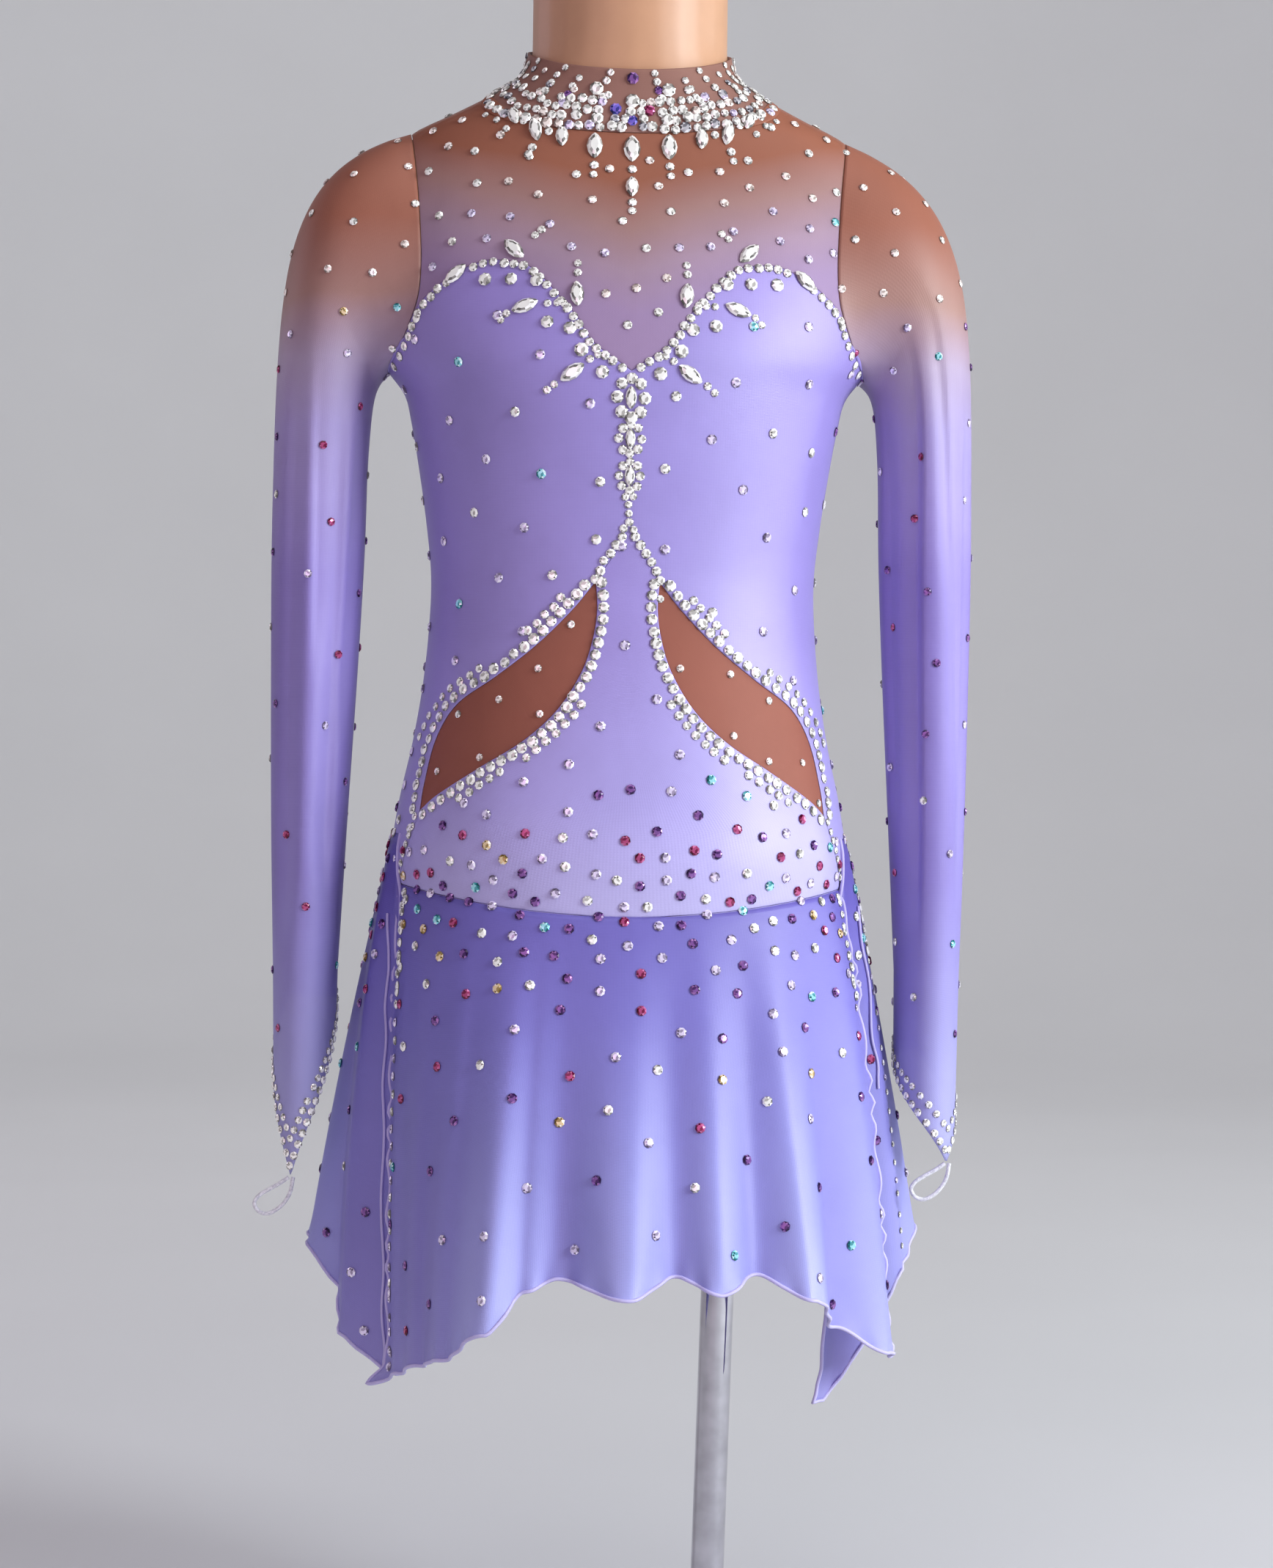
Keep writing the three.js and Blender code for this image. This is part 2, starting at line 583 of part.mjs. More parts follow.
const tipTurn = (side) => (CUFF_EDGE[named(side)].tipSide * 360) / SLEEVE_SIDES;

// The height of a pointed cuff's edge at a turn.
function cuffZ(side, turn) {
  const { highZ, tipZ, reach } = CUFF_EDGE[named(side)];
  const degrees = THREE.MathUtils.radToDeg(turn);
  const away = Math.abs(((degrees - tipTurn(side) + 540) % 360) - 180) / reach;
  return mix(tipZ, highZ, Math.min(1, away) ** 0.92);
}

// A point of the wearer's left sleeve. Rings below the table's last row make the cuff.
function sleevePoint(side, ring, turn, inset) {
  const lastRow = SLEEVE.length - 1;
  if (ring <= lastRow) {
    const row = SLEEVE[ring];
    const drop = side > 0 ? LEFT_SHOULDER_DROP * Math.sin(Math.PI * clamp01(ring / 10)) : 0;
    const point = ellipsePoint(row, turn, inset);
    const fold = foldDepth(side, turn, point.z);
    const folded = ellipsePoint(row, turn, inset + fold);
    folded.z -= (drop * (1 + Math.cos(turn))) / 2;
    const fromSeam = Math.max(0, 1 - ring / 5) ** 2;
    const seamShift = armholePoint(turn).sub(ellipsePoint(SLEEVE[0], turn, 0));
    return folded.addScaledVector(seamShift, fromSeam);
  }
  const share = (ring - lastRow) / CUFF_RINGS;
  const { inX, outX, front, back } = SLEEVE[lastRow];
  const row = {
    inX: mix(inX, CUFF.inX, share),
    outX: mix(outX, CUFF.outX, share),
    front: mix(front, CUFF.front, share),
    back: mix(back, CUFF.back, share),
    inZ: 0,
    outZ: 0,
  };
  return ellipsePoint(row, turn, inset).setZ(mix(SLEEVE[lastRow].inZ, cuffZ(side, turn), share));
}

function sleeve(side) {
  const turns = sleeveTurns();
  const rings = SLEEVE.length - 1 + CUFF_RINGS;
  const made = wall(SLEEVE_SIDES, rings, true, (i, j, inner) => {
    const turn = turns[i % SLEEVE_SIDES];
    const point = sleevePoint(side, rings - j, side > 0 ? -turn : turn, inner ? CLOTH : 0);
    return point.setX(side * point.x);
  });
  return made.intersect(beyondArmhole(side, SEAM / 2));
}

// ---- Dress form --------------------------------------------------------------------------

function shoulder(side) {
  const turns = sleeveTurns();
  const rings = [];
  for (let ring = SLEEVE_CAP_RINGS - 1; ring >= 0; ring -= 1) {
    rings.push(
      turns.map((turn) => {
        const at = side > 0 ? -turn : turn;
        const point = sleevePoint(side, ring, at, FORM_INSET);
        return point.setX(side * point.x);
      }),
    );
  }
  const root = rings.at(-1);
  const middle = root.reduce((sum, p) => sum.add(p), vector(0, 0, 0)).divideScalar(root.length);
  const buried = vector(-side * 30, 0, 0);
  rings.push(root.map((p) => p.clone().lerp(middle, 0.35).add(buried)));
  return loft(rings);
}

function torso() {
  const segments = 26;
  const levels = [
    ...BOWL_ROWS.map((share) => HIP_Z - BOWL_DEPTH * share),
    ...BODICE_ROWS.slice(1),
    ...[851, 857, 864, 874],
  ];
  const rings = levels.map((level) =>
    Array.from({ length: segments }, (_, i) =>
      onFigure(-Math.PI + (2 * Math.PI * i) / segments, level, -FORM_INSET),
    ),
  );
  const neck = rings.at(-1);
  rings.push(neck.map((p) => p.clone().setZ(NECK_TOP_Z - 5)));
  rings.push(neck.map((p) => vector(p.x * 0.9, p.y * 0.9, NECK_TOP_Z)));
  return loft(rings);
}

const poleLean = radians(POLE.leanDegrees);

function rod(radius, from, to) {
  return new THREE.CylinderGeometry(radius, radius, to - from, POLE.segments)
    .rotateX(Math.PI / 2)
    .translate(0, 0, (from + to) / 2)
    .rotateY(poleLean)
    .translate(POLE.footX, 0, 0);
}

function dressForm() {
  const withinArmholes = beyondArmhole(1, 1.5).add(beyondArmhole(-1, 1.5));
  return torso()
    .subtract(withinArmholes)
    .add(shoulder(1))
    .add(shoulder(-1))
    .subtract(solid(rod(POLE.radius + POLE_HOLE_CLEAR, HIP_Z - 90, POLE.topZ + 1)));
}

// ---- Skirt -------------------------------------------------------------------------------

function skirtPoint(rows, angleDegrees, share, topZ, out) {
  const angle = radians(angleDegrees);
  const start = onFigure(angle, Math.max(topZ, HIP_Z), SEAM);
  const level = Math.max(topZ, HIP_Z);
  const outward = onFigure(angle, level, 1).sub(figure(angle, level)).setZ(0).normalize();
  const drop = (topZ - foldAt(rows, "hem", angleDegrees)) * share;
  const way = drop / SKIRT_REFERENCE_DROP;
  const bow = foldAt(rows, "hang", angleDegrees) * SKIRT_MEAN_OUT;
  const flare = bow * way * (1.25 - 0.25 * way);
  const fold = (foldAt(rows, "out", angleDegrees) - bow) * way ** 1.4;
  return start.addScaledVector(outward, flare + fold + out).setZ(topZ - drop);
}

function skirtPanel(rows, columns, topOf) {
  const from = rows[0].angle + 0.25;
  const to = rows.at(-1).angle - 0.25;
  const down = 6;
  return wall(columns, down, false, (i, j, inner) => {
    const angle = mix(from, to, i / columns);
    const share = 1 - j / down;
    const top = topOf(radians(angle));
    const point = skirtPoint(rows, angle, share, top, CLOTH / 2);
    const nudge = 0.05;
    const across = skirtPoint(rows, angle + nudge, share, top, 0).sub(
      skirtPoint(rows, angle - nudge, share, top, 0),
    );
    const low = Math.max(share, 0.02);
    const rise = skirtPoint(rows, angle, low - 0.02, top, 0).sub(
      skirtPoint(rows, angle, low, top, 0),
    );
    const normal = across.cross(rise).normalize();
    return point.addScaledVector(normal, inner ? -CLOTH / 2 : CLOTH / 2);
  });
}

// ---- Finger loops and stones -------------------------------------------------------------

// A small elastic that leaves the cuff's point, turns and comes back beside itself.
function fingerLoop(side) {
  const cuffEnd = SLEEVE.length - 1 + CUFF_RINGS;
  const tip = sleevePoint(side, cuffEnd, radians(tipTurn(side)), CLOTH / 2);
  const start = vector(side * tip.x, tip.y, tip.z - LOOP.radius - SEAM);
  const path = new THREE.CatmullRomCurve3(
    LOOP.route.map(([x, z]) => start.clone().add(vector(x, 0, z))),
  );
  const section = new THREE.Shape().absarc(0, 0, LOOP.radius, 0, 2 * Math.PI);
  const options = { steps: 15, curveSegments: 3, bevelEnabled: false, extrudePath: path };
  return solid(new THREE.ExtrudeGeometry(section, options));
}

// A cut marquise: a pointed oval with a flat back, a girdle and a smaller table.
function marquise({ x, z, lean, long, wide, seat }, side) {
  const angle = angleOf(side * x, z);
  const centre = onFigure(angle, z, -seat);
  const out = onFigure(angle, z, 1).sub(centre).normalize();
  const tilt = radians(side > 0 ? lean : 180 - lean);
  const along = vector(Math.cos(tilt), 0, Math.sin(tilt));
  along.addScaledVector(out, -along.dot(out)).normalize();
  const across = out.clone().cross(along);
  const outline = Array.from({ length: STONE.corners }, (_, i) => {
    const turn = (2 * Math.PI * i) / STONE.corners;
    const reach = Math.cos(turn);
    return [(long / 2) * reach, (wide / 2) * Math.sign(Math.sin(turn)) * (1 - reach ** 2) ** 0.9];
  });
  const ring = (height, scale) =>
    outline.map(([u, v]) =>
      centre
        .clone()
        .addScaledVector(out, height)
        .addScaledVector(along, u * scale)
        .addScaledVector(across, v * scale),
    );
  return loft([
    ring(STONE.lift, 0.9),
    ring(STONE.lift + STONE.girdle, 1),
    ring(STONE.lift + STONE.height, STONE.table),
  ]);
}

// ---- Stand -------------------------------------------------------------------------------

function turned(profile, segments) {
  const points = profile.map(([radius, z]) => new THREE.Vector2(radius, z));
  return new THREE.LatheGeometry(points, segments).rotateX(Math.PI / 2);
}

const basePlate = turned([
  [0, 0], [BASE.radius - 1.5, 0], [BASE.radius, 1.5], [BASE.radius, BASE.height - BASE.edge],
  [BASE.radius - BASE.edge, BASE.height], [0, BASE.height],
], BASE.segments);
const socketFoot = BASE.height + SEAM;
const poleSocket = turned([
  [SOCKET.bore, 0], [SOCKET.radius, 0], [SOCKET.radius, 5], [SOCKET.radius - 6, 9],
  [SOCKET.radius - 8, SOCKET.height], [SOCKET.bore, SOCKET.height], [SOCKET.bore, 0],
], SOCKET.segments).translate(POLE.footX + Math.sin(poleLean) * 10, 0, socketFoot);

// ---- Materials and the group -------------------------------------------------------------

const finish = (color, roughness, metalness = 0) =>
  new THREE.MeshStandardMaterial({ color, roughness, metalness });
const SATIN = finish(0x8f78c4, 0.45);
const NUDE_MESH = finish(0xb08574, 0.7);
const YOKE_MESH = finish(0xa88fa8, 0.7);
const SLEEVE_MESH = finish(0xa095cc, 0.7);
const SKIRT_CLOTH = finish(0x9d93d8, 0.65);
const ELASTIC = finish(0xe8e8ee, 0.6);
const CRYSTAL = finish(0xe9edf2, 0.08, 0.2);
const SKIN_PLASTIC = finish(0xc79f7e, 0.5);
const CHROME = finish(0xc8cbd0, 0.12, 1);
const BASE_STEEL = finish(0xb9bcc2, 0.25, 1);

const part = new THREE.Group();

function add(name, shape, material) {
  const geometry = shape.isBufferGeometry ? shape : geometryOf(shape);
  const mesh = new THREE.Mesh(geometry, material);
  mesh.name = name;
  part.add(mesh);
}

add("base_plate", basePlate, BASE_STEEL);
add("pole_socket", poleSocket, CHROME);
add("pole", rod(POLE.radius, BASE.height + 0.6, POLE.topZ), CHROME);
add("dress_form", dressForm(), SKIN_PLASTIC);

add("collar", collar(), NUDE_MESH);
add("yoke_front", yokeFront, YOKE_MESH);
add("bodice_front", bodiceFront, SATIN);
add("front_panel", frontPanel, SATIN);
const briefWhole = brief();
const frontOf = prism([[-FAR, 0], [FAR, 0], [FAR, 950], [-FAR, 950]], -FAR, -SEAM / 2);
const backOf = prism([[-FAR, 0], [FAR, 0], [FAR, 950], [-FAR, 950]], SEAM / 2, FAR);
add("brief_front", briefWhole.intersect(frontOf), SATIN);
add("brief_back", briefWhole.intersect(backOf), SATIN);
add("skirt_front", skirtPanel(SKIRT_FRONT, 40, (a) => turning(LOW_SEAM, a) - SEAM), SKIRT_CLOTH);
add("skirt_back", skirtPanel(SKIRT_BACK, 44, () => SKIRT_TOP_Z), SKIRT_CLOTH);

for (const [name, side] of [["left", 1], ["right", -1]]) {
  const back = backHalf(side);
  add(`yoke_back_${name}`, back.intersect(aboveBackYoke(SEAM / 2)), YOKE_MESH);
  add(`bodice_back_${name}`, back.subtract(aboveBackYoke(-SEAM / 2)), SATIN);
  add(`inset_${name}`, satinFront.intersect(leaf(side, -SEAM / 2)), NUDE_MESH);
  add(`sleeve_${name}`, sleeve(side), SLEEVE_MESH);
  add(`finger_loop_${name}`, fingerLoop(side), ELASTIC);
  BUST_STONES.forEach((stone, i) => add(`bust_stone_${name}_${i + 1}`, marquise(stone, side), CRYSTAL));
  COLLAR_STONES.forEach((stone, i) => add(`collar_stone_${name}_${i + 1}`, marquise(stone, side), CRYSTAL));
}
CENTRE_STONES.forEach((stone, i) => add(`centre_stone_${i + 1}`, marquise(stone, 1), CRYSTAL));

export default part;
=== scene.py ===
"""Visual model of a child's figure skating dress on a limbless dress form.

The cloth is shaped on one figure, given by short tables of sections, and every piece is a fine
sheet between its seams. Tables are in millimetres, meshes in metres.
"""

import math
import random

import bmesh
import bpy
import numpy as np
from bpy.props import FloatProperty, FloatVectorProperty, IntProperty, PointerProperty
from mathutils import Matrix, Vector


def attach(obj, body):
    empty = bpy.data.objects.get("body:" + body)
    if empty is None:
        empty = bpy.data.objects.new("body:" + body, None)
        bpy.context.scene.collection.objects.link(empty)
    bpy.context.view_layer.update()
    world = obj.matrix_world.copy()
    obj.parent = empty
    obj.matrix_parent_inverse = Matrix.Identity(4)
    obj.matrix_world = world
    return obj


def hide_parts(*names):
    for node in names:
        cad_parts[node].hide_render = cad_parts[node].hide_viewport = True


bl_info = {
    "name": "Figure skating dress",
    "version": (1, 0, 0),
    "blender": (4, 5, 0),
    "location": "View3D > Sidebar > Skating Dress",
    "description": "Builds a skating dress on its dress form, with its stones and its stand",
    "category": "Add Mesh",
}

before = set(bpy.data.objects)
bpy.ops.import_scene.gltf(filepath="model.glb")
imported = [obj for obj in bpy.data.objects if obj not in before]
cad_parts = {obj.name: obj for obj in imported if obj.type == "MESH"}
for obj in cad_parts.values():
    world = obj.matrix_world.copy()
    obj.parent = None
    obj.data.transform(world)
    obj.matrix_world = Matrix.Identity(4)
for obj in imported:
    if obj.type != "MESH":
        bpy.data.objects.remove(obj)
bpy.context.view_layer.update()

MM = 0.001

# ---- The figure and its seams --------------------------------------------------------------

HIP_Z = 412.0
BOWL_DEPTH = 60.0
BOWL_ROUNDNESS = 2.3

# height, half width, depth to the front, depth to the back, squareness (2 is an ellipse)
FIGURE_ROWS = [
    (412, 121.0, 91.0, 103.0, 2.15),
    (440, 123.5, 93.0, 104.0, 2.15),
    (470, 119.5, 90.0, 99.0, 2.15),
    (500, 113.0, 86.0, 90.0, 2.15),
    (530, 108.0, 82.0, 82.0, 2.15),
    (560, 105.0, 79.0, 76.0, 2.15),
    (590, 104.0, 77.0, 73.5, 2.15),
    (620, 107.0, 79.0, 75.0, 2.15),
    (650, 111.5, 83.0, 80.0, 2.15),
    (675, 116.0, 86.0, 84.0, 2.15),
    (690, 120.0, 87.0, 86.0, 2.15),
    (703, 129.5, 87.0, 87.0, 2.1),
    (718, 136.0, 85.0, 87.5, 2.05),
    (740, 140.0, 80.0, 86.0, 2.0),
    (765, 141.5, 72.0, 82.0, 2.0),
    (790, 140.0, 62.0, 75.0, 2.0),
    (810, 134.0, 54.0, 67.0, 2.0),
    (822, 126.5, 50.5, 61.5, 2.0),
    (831, 116.5, 49.5, 57.5, 2.0),
    (840, 98.0, 49.0, 54.0, 2.0),
    (848, 82.0, 49.0, 51.5, 2.0),
    (854, 71.0, 49.5, 50.0, 2.0),
    (859, 63.0, 49.8, 49.3, 2.0),
    (865, 58.0, 50.0, 48.8, 2.0),
    (874, 55.8, 50.2, 48.4, 2.0),
    (890, 54.6, 50.2, 48.0, 2.0),
    (922, 54.0, 50.0, 47.5, 2.0),
]

# Seams whose height turns from the centre front to the centre back: front, back, turn.
COLLAR_BASE = (824.0, 860.0, 2.6)
COLLAR_TOP = (858.0, 886.0, 1.6)
LOW_SEAM = (411.5, 428.0, 4.0)
SKIRT_TOP_Z = 452.0
BACK_YOKE = (704.0, 728.0)  # the back yoke's lower edge: height at the centre and at the armhole
CENTRE_BACK = math.pi - 0.002  # the angle at which each half of the back ends
COLLAR_END = math.pi - 0.003
CENTRE_REACH = 0.9  # the front's halves are one where they come this near to the centre
SIDES = ((1, "left"), (-1, "right"))

# Front view outlines, from the centre to the wearer's left: x, z.
SWEETHEART = [
    (0, 693.5), (20, 708.4), (28.2, 721.4), (37, 732.4), (52, 748.6),
    (64.4, 752.2), (75.7, 752.7), (91.8, 746.4), (106.7, 735.5), (113.2, 727.7),
]
ARMHOLE = [
    (129, 700.5), (122.5, 709), (117, 720), (112, 735), (110.5, 750),
    (111, 770), (113.5, 800), (118, 831), (122.5, 848),
]
LEAF_UPPER = [
    (16.7, 585), (27.6, 571.3), (46.8, 552), (68.5, 535), (88.7, 520.6),
    (99.3, 503.2), (105.5, 478.5), (107.5, 464.5),
]
LEAF_LOWER = [
    (16.7, 585), (15.8, 571), (17.5, 557), (23, 539), (35.5, 518.5),
    (53, 502), (76, 487.5), (99.5, 472), (107.5, 464.5),
]
PANEL_PEAK = [(0, 612), (5, 603), (16.7, 585)]
PANEL_SIDE = [(107.5, 464.5), (112.5, 450), (116.5, 436), (118.3, 425)]

# The sleeve's rings: inner x and z, outer x and z, depth to the front and to the back.
SLEEVE_RINGS = [
    (129.0, 700.5, 118.0, 831.0, 41.0, 46.0),
    (130.4, 698.6, 131.5, 826.5, 42.0, 46.5),
    (131.7, 696.8, 146.0, 819.0, 42.5, 46.5),
    (132.9, 695.0, 159.0, 808.5, 42.5, 46.0),
    (134.0, 693.0, 169.5, 795.0, 42.0, 45.0),
    (134.9, 690.8, 177.5, 778.0, 41.0, 43.5),
    (135.7, 688.0, 183.0, 758.0, 40.0, 42.0),
    (136.5, 684.0, 186.3, 735.0, 39.0, 40.5),
    (137.3, 677.5, 188.3, 709.0, 38.0, 39.0),
    (138.2, 666.0, 189.4, 681.0, 37.0, 38.0),
    (139.2, 646.0, 190.0, 650.0, 36.0, 37.0),
    (140.2, 600.0, 190.4, 600.0, 35.3, 35.6),
    (143.2, 535.0, 189.8, 535.0, 34.0, 34.0),
    (147.6, 455.0, 188.6, 455.0, 32.0, 31.5),
    (151.6, 380.0, 186.6, 380.0, 29.0, 28.5),
]
CUFF = (152.0, 185.5, 27.5, 27.0)  # inner x, outer x, depth to the front and to the back
# The cuff's edge: highest z, lowest z, where its point lies (degrees from the outer side, to
# the front) and the turn over which the edge climbs.
CUFF_EDGE = {1: (335.0, 278.0, 54.0, 150.0), -1: (362.0, 268.0, 72.0, 122.0)}
LEFT_SHOULDER_DROP = 5.0

# The sleeves' long folds: turn, depth, width before and after the turn (degrees; a narrow side
# is a crease), top z, bottom z and drift over the run.
SLEEVE_FOLDS = {
    1: [
        (30, 2.8, 16, 16, 720, 400, 6), (108, 4.6, 5, 30, 742, 392, 10),
        (250, 3.0, 24, 24, 700, 420, 10), (152, 2.6, 16, 7, 712, 440, 12),
        (62, 2.4, 7, 18, 735, 470, -16), (84, 2.0, 4, 12, 770, 560, -22),
    ],
    -1: [
        (62, 3.4, 14, 26, 735, 380, -6), (118, 4.2, 26, 10, 720, 400, 8),
        (230, 3.0, 24, 24, 700, 420, -8), (152, 2.4, 12, 12, 700, 480, -12),
        (88, 2.2, 6, 16, 725, 520, 10),
    ],
}

# The skirt's folds: angle from the centre front, how far the hem stands out, the hem's height
# and the share of the bow between the hip and the hem.
SKIRT_FRONT = [
    (-73, 3, 158, 0.25), (-61, 8, 168, 0.6), (-47, 18, 177, 1), (-36, 34, 185, 1),
    (-24, 57, 203, 1), (-18, 42, 223, 1), (-12, 33, 229, 1), (1, 54, 221, 1), (10, 36, 231, 1),
    (18, 52, 223, 1), (27, 36, 231, 1), (36, 57, 219, 1), (48, 30, 200, 1), (61, 40, 184, 1),
    (73, 29, 176, 1),
]
SKIRT_BACK = [
    (73, 0.6, 152, 0.5), (84, 34, 222, 1), (94, 45, 240, 1), (108, 30, 237, 1),
    (124, 54, 235, 1), (140, 32, 243, 1), (157, 52, 233, 1), (173, 33, 242, 1),
    (190, 55, 232, 1), (206, 34, 241, 1), (223, 52, 233, 1), (239, 31, 240, 1),
    (254, 50, 230, 1), (265, 44, 226, 1), (271, 25, 206, 1), (277.5, 24, 183, 1),
    (287, 3, 164, 0.35),
]
SKIRT_MEAN_OUT = 42.0
SKIRT_REFERENCE_DROP = 227.0
SKIRT_ROWS = 90
SKIRT_ROW_EASE = 1.15  # above 1 the rows of faces lie closer together at the hem
UNDERLAP_SINK = 2.4  # how deep the back panel's tucked edges lie behind the front panel

# Marquise stones, front view: x, z, lean, length, width.
BUST_MARQUISES = [
    (92, 746, -35, 15, 7.5), (61.5, 758.5, 46, 15, 7.5), (55.5, 727.5, -18, 15, 7.5),
    (28.5, 733.8, 84, 14, 7.5), (30.5, 692.5, -35, 15, 7.5),
]
COLLAR_MARQUISES = [
    (19.7, 816.5, 90, 15, 8.5), (37, 822, 86, 12, 7), (51, 826, 78, 14, 7),
    (62.3, 833.5, 68, 11, 6.5),
]
CENTRE_MARQUISES = [
    (0, 815, 90, 15.5, 9), (0, 793.5, 90, 12.5, 7), (0, 679.7, 90, 12, 6),
    (0, 658.7, 90, 11, 5.5), (0, 639.7, 90, 11, 5.5),
]

# Larger round stones on the bust, on both sides: x, z.
BUST_ROUNDS = [
    (76.5, 742.5), (62.5, 741.8), (49.5, 741), (43.5, 718.5), (32, 715.5), (26, 704),
    (14.8, 692.5),
]
SLIT_CLOSE_END = 62.0  # how far down a slit its stones stand close together
FIRST_PEAK = 10.0  # the angle of the first peak beside the collar's centre front
PEAK_PITCH = 12.6
# Larger stones on the collar (x, z, width, colour; clear ones on both sides) and the round
# stones round its pendants (x, z, width; on both sides).
COLLAR_GEMS = [
    (0, 853, 6.4, "purple"), (0, 841, 7.6, "clear"), (-8.8, 836.5, 6.4, "blue"),
    (9, 836, 6.2, "wine"), (0, 830.5, 5.8, "blue"), (19, 847.5, 7.4, "clear"),
    (18.5, 831.5, 6.8, "clear"), (29.5, 833.5, 6.2, "clear"), (10.5, 827.6, 6, "clear"),
]
PENDANT_ROUNDS = [
    (0, 803.4, 5), (0, 784.6, 5), (0, 779.8, 4.6), (20, 805.5, 5), (20.4, 800.2, 4.4),
    (52.6, 815.5, 5), (54, 810.3, 4.4), (44, 824.5, 4.6), (57.4, 830.5, 4.4), (69, 836, 4.8),
    (71.6, 831.6, 4), (74.6, 839.5, 4.8), (77.6, 835, 3.8), (66.5, 826.4, 4),
]
POLE = {"radius": 9.0, "foot_x": 52.5, "lean": 1.3, "low": 8.6, "top": 398.0}
POLE_CHAMFER = 0.6
SOCKET_MIDDLE = 10.0  # how far up the pole the socket is centred on it
# A finger loop's route from the cuff's point: x, z.
LOOP_RADIUS = 1.1
LOOP_ROUTE = [
    (-0.9, 1), (-6, -2.6), (-12, -6), (-17, -9.4), (-19, -13), (-17, -17),
    (-12.5, -18.6), (-7.5, -16.6), (-3, -12.4), (0, -7), (1.5, 1),
]

# ---- Small tools ---------------------------------------------------------------------------


class Curve:
    """A smooth curve through (place, value) rows, flat beyond its ends."""

    def __init__(self, places, values):
        self.x = np.array(places, float)
        self.y = np.array(values, float)
        before = np.maximum(np.arange(len(self.x)) - 1, 0)
        after = np.minimum(np.arange(len(self.x)) + 1, len(self.x) - 1)
        self.slope = (self.y[after] - self.y[before]) / (self.x[after] - self.x[before])

    def __call__(self, at):
        at = np.clip(np.asarray(at, float), self.x[0], self.x[-1])
        i = np.clip(np.searchsorted(self.x, at, side="right") - 1, 0, len(self.x) - 2)
        span = self.x[i + 1] - self.x[i]
        t = (at - self.x[i]) / span
        return (
            self.y[i] * (2 * t**3 - 3 * t**2 + 1)
            + self.y[i + 1] * (3 * t**2 - 2 * t**3)
            + self.slope[i] * span * (t**3 - 2 * t**2 + t)
            + self.slope[i + 1] * span * (t**3 - t**2)
        )


def mix(start, end, share):
    return start + (end - start) * share


def smooth(share):
    """A share eased in and out, held between 0 and 1."""
    share = np.clip(share, 0, 1)
    return share * share * (3 - 2 * share)


def power(value, exponent):
    """A power that keeps the value's sign."""
    return np.sign(value) * np.abs(value) ** exponent


def unit(vectors):
    return vectors / np.maximum(np.linalg.norm(vectors, axis=-1, keepdims=True), 1e-12)


def run_along(points):
    """The length of a line up to each of its points."""
    steps = np.linalg.norm(np.diff(points, axis=0), axis=1)
    return np.concatenate([[0], np.cumsum(steps)])


def smooth_line(points, count=60):
    """Points evenly spread on a smooth curve through a short table of points."""
    points = np.array(points, float)
    run = run_along(points)
    at = np.linspace(0, run[-1], count)
    return np.stack([Curve(run, points[:, k])(at) for k in (0, 1)], axis=1)


def graded(count):
    """count + 1 shares from 0 to 1 with finer steps next to both ends."""
    middle = np.linspace(0, 1, count - 3)
    step = middle[1]
    return np.concatenate([[0, step * 0.3], middle[1:-1], [1 - step * 0.3, 1]])


# ---- The figure ----------------------------------------------------------------------------

FIGURE_REACH = 100.0  # about how far the cloth lies from the axis
HALF, FRONT, BACK, SQUARE = (
    Curve([row[0] for row in FIGURE_ROWS], [row[k] for row in FIGURE_ROWS]) for k in (1, 2, 3, 4)
)


def turning(seam, angle):
    """A seam's height at an angle from the centre front."""
    front, back, turn = seam
    return back + (front - back) * ((1 + np.cos(angle)) / 2) ** turn


def figure(angle, level):
    """Points over the cloth at angles from the centre front and levels."""
    angle, level = np.broadcast_arrays(np.asarray(angle, float), np.asarray(level, float))
    bowl = np.clip((HIP_Z - level) / BOWL_DEPTH, 0, 1) * math.pi / 2
    shrink = np.cos(bowl) ** (2 / BOWL_ROUNDNESS)
    ease = 2 / SQUARE(level)
    depth = np.where(np.cos(angle) > 0, FRONT(level), BACK(level))
    low = HIP_Z - BOWL_DEPTH * np.sin(bowl) ** (2 / BOWL_ROUNDNESS)
    return np.stack(
        [
            HALF(level) * shrink * power(np.sin(angle), ease),
            -depth * shrink * power(np.cos(angle), ease),
            np.where(level < HIP_Z, low, level),
        ],
        axis=-1,
    )


def figure_normal(angle, level):
    step = 2e-3
    across = figure(angle + step, level) - figure(angle - step, level)
    up = figure(angle, level + step * 50) - figure(angle, level - step * 50)
    return unit(np.cross(across, up))


def on_figure(angle, level, out=0.0):
    """The figure's points moved along its normal."""
    return figure(angle, level) + figure_normal(angle, level) * np.asarray(out)[..., None]


def angle_of(x, z):
    """The angle on the front at which the figure's section has this x."""
    share = np.minimum(1, np.abs(x) / HALF(z))
    return np.sign(x) * np.arcsin(share ** (SQUARE(z) / 2))


def seam_line(points, back=False):
    """A front view line (x, z) as (angle, level) points on the front or the back."""
    points = np.array(points, float)
    angles = angle_of(points[:, 0], points[:, 1])
    if back:
        angles = math.pi - angles
    return np.stack([angles, points[:, 1]], axis=1)


def resample(line, count):
    """count + 1 points along a line of (angle, level) points."""
    line = np.array(line, float)
    run = run_along(line * (FIGURE_REACH, 1))
    at = run[-1] * graded(count)
    return np.stack([np.interp(at, run, line[:, k]) for k in (0, 1)], axis=1)


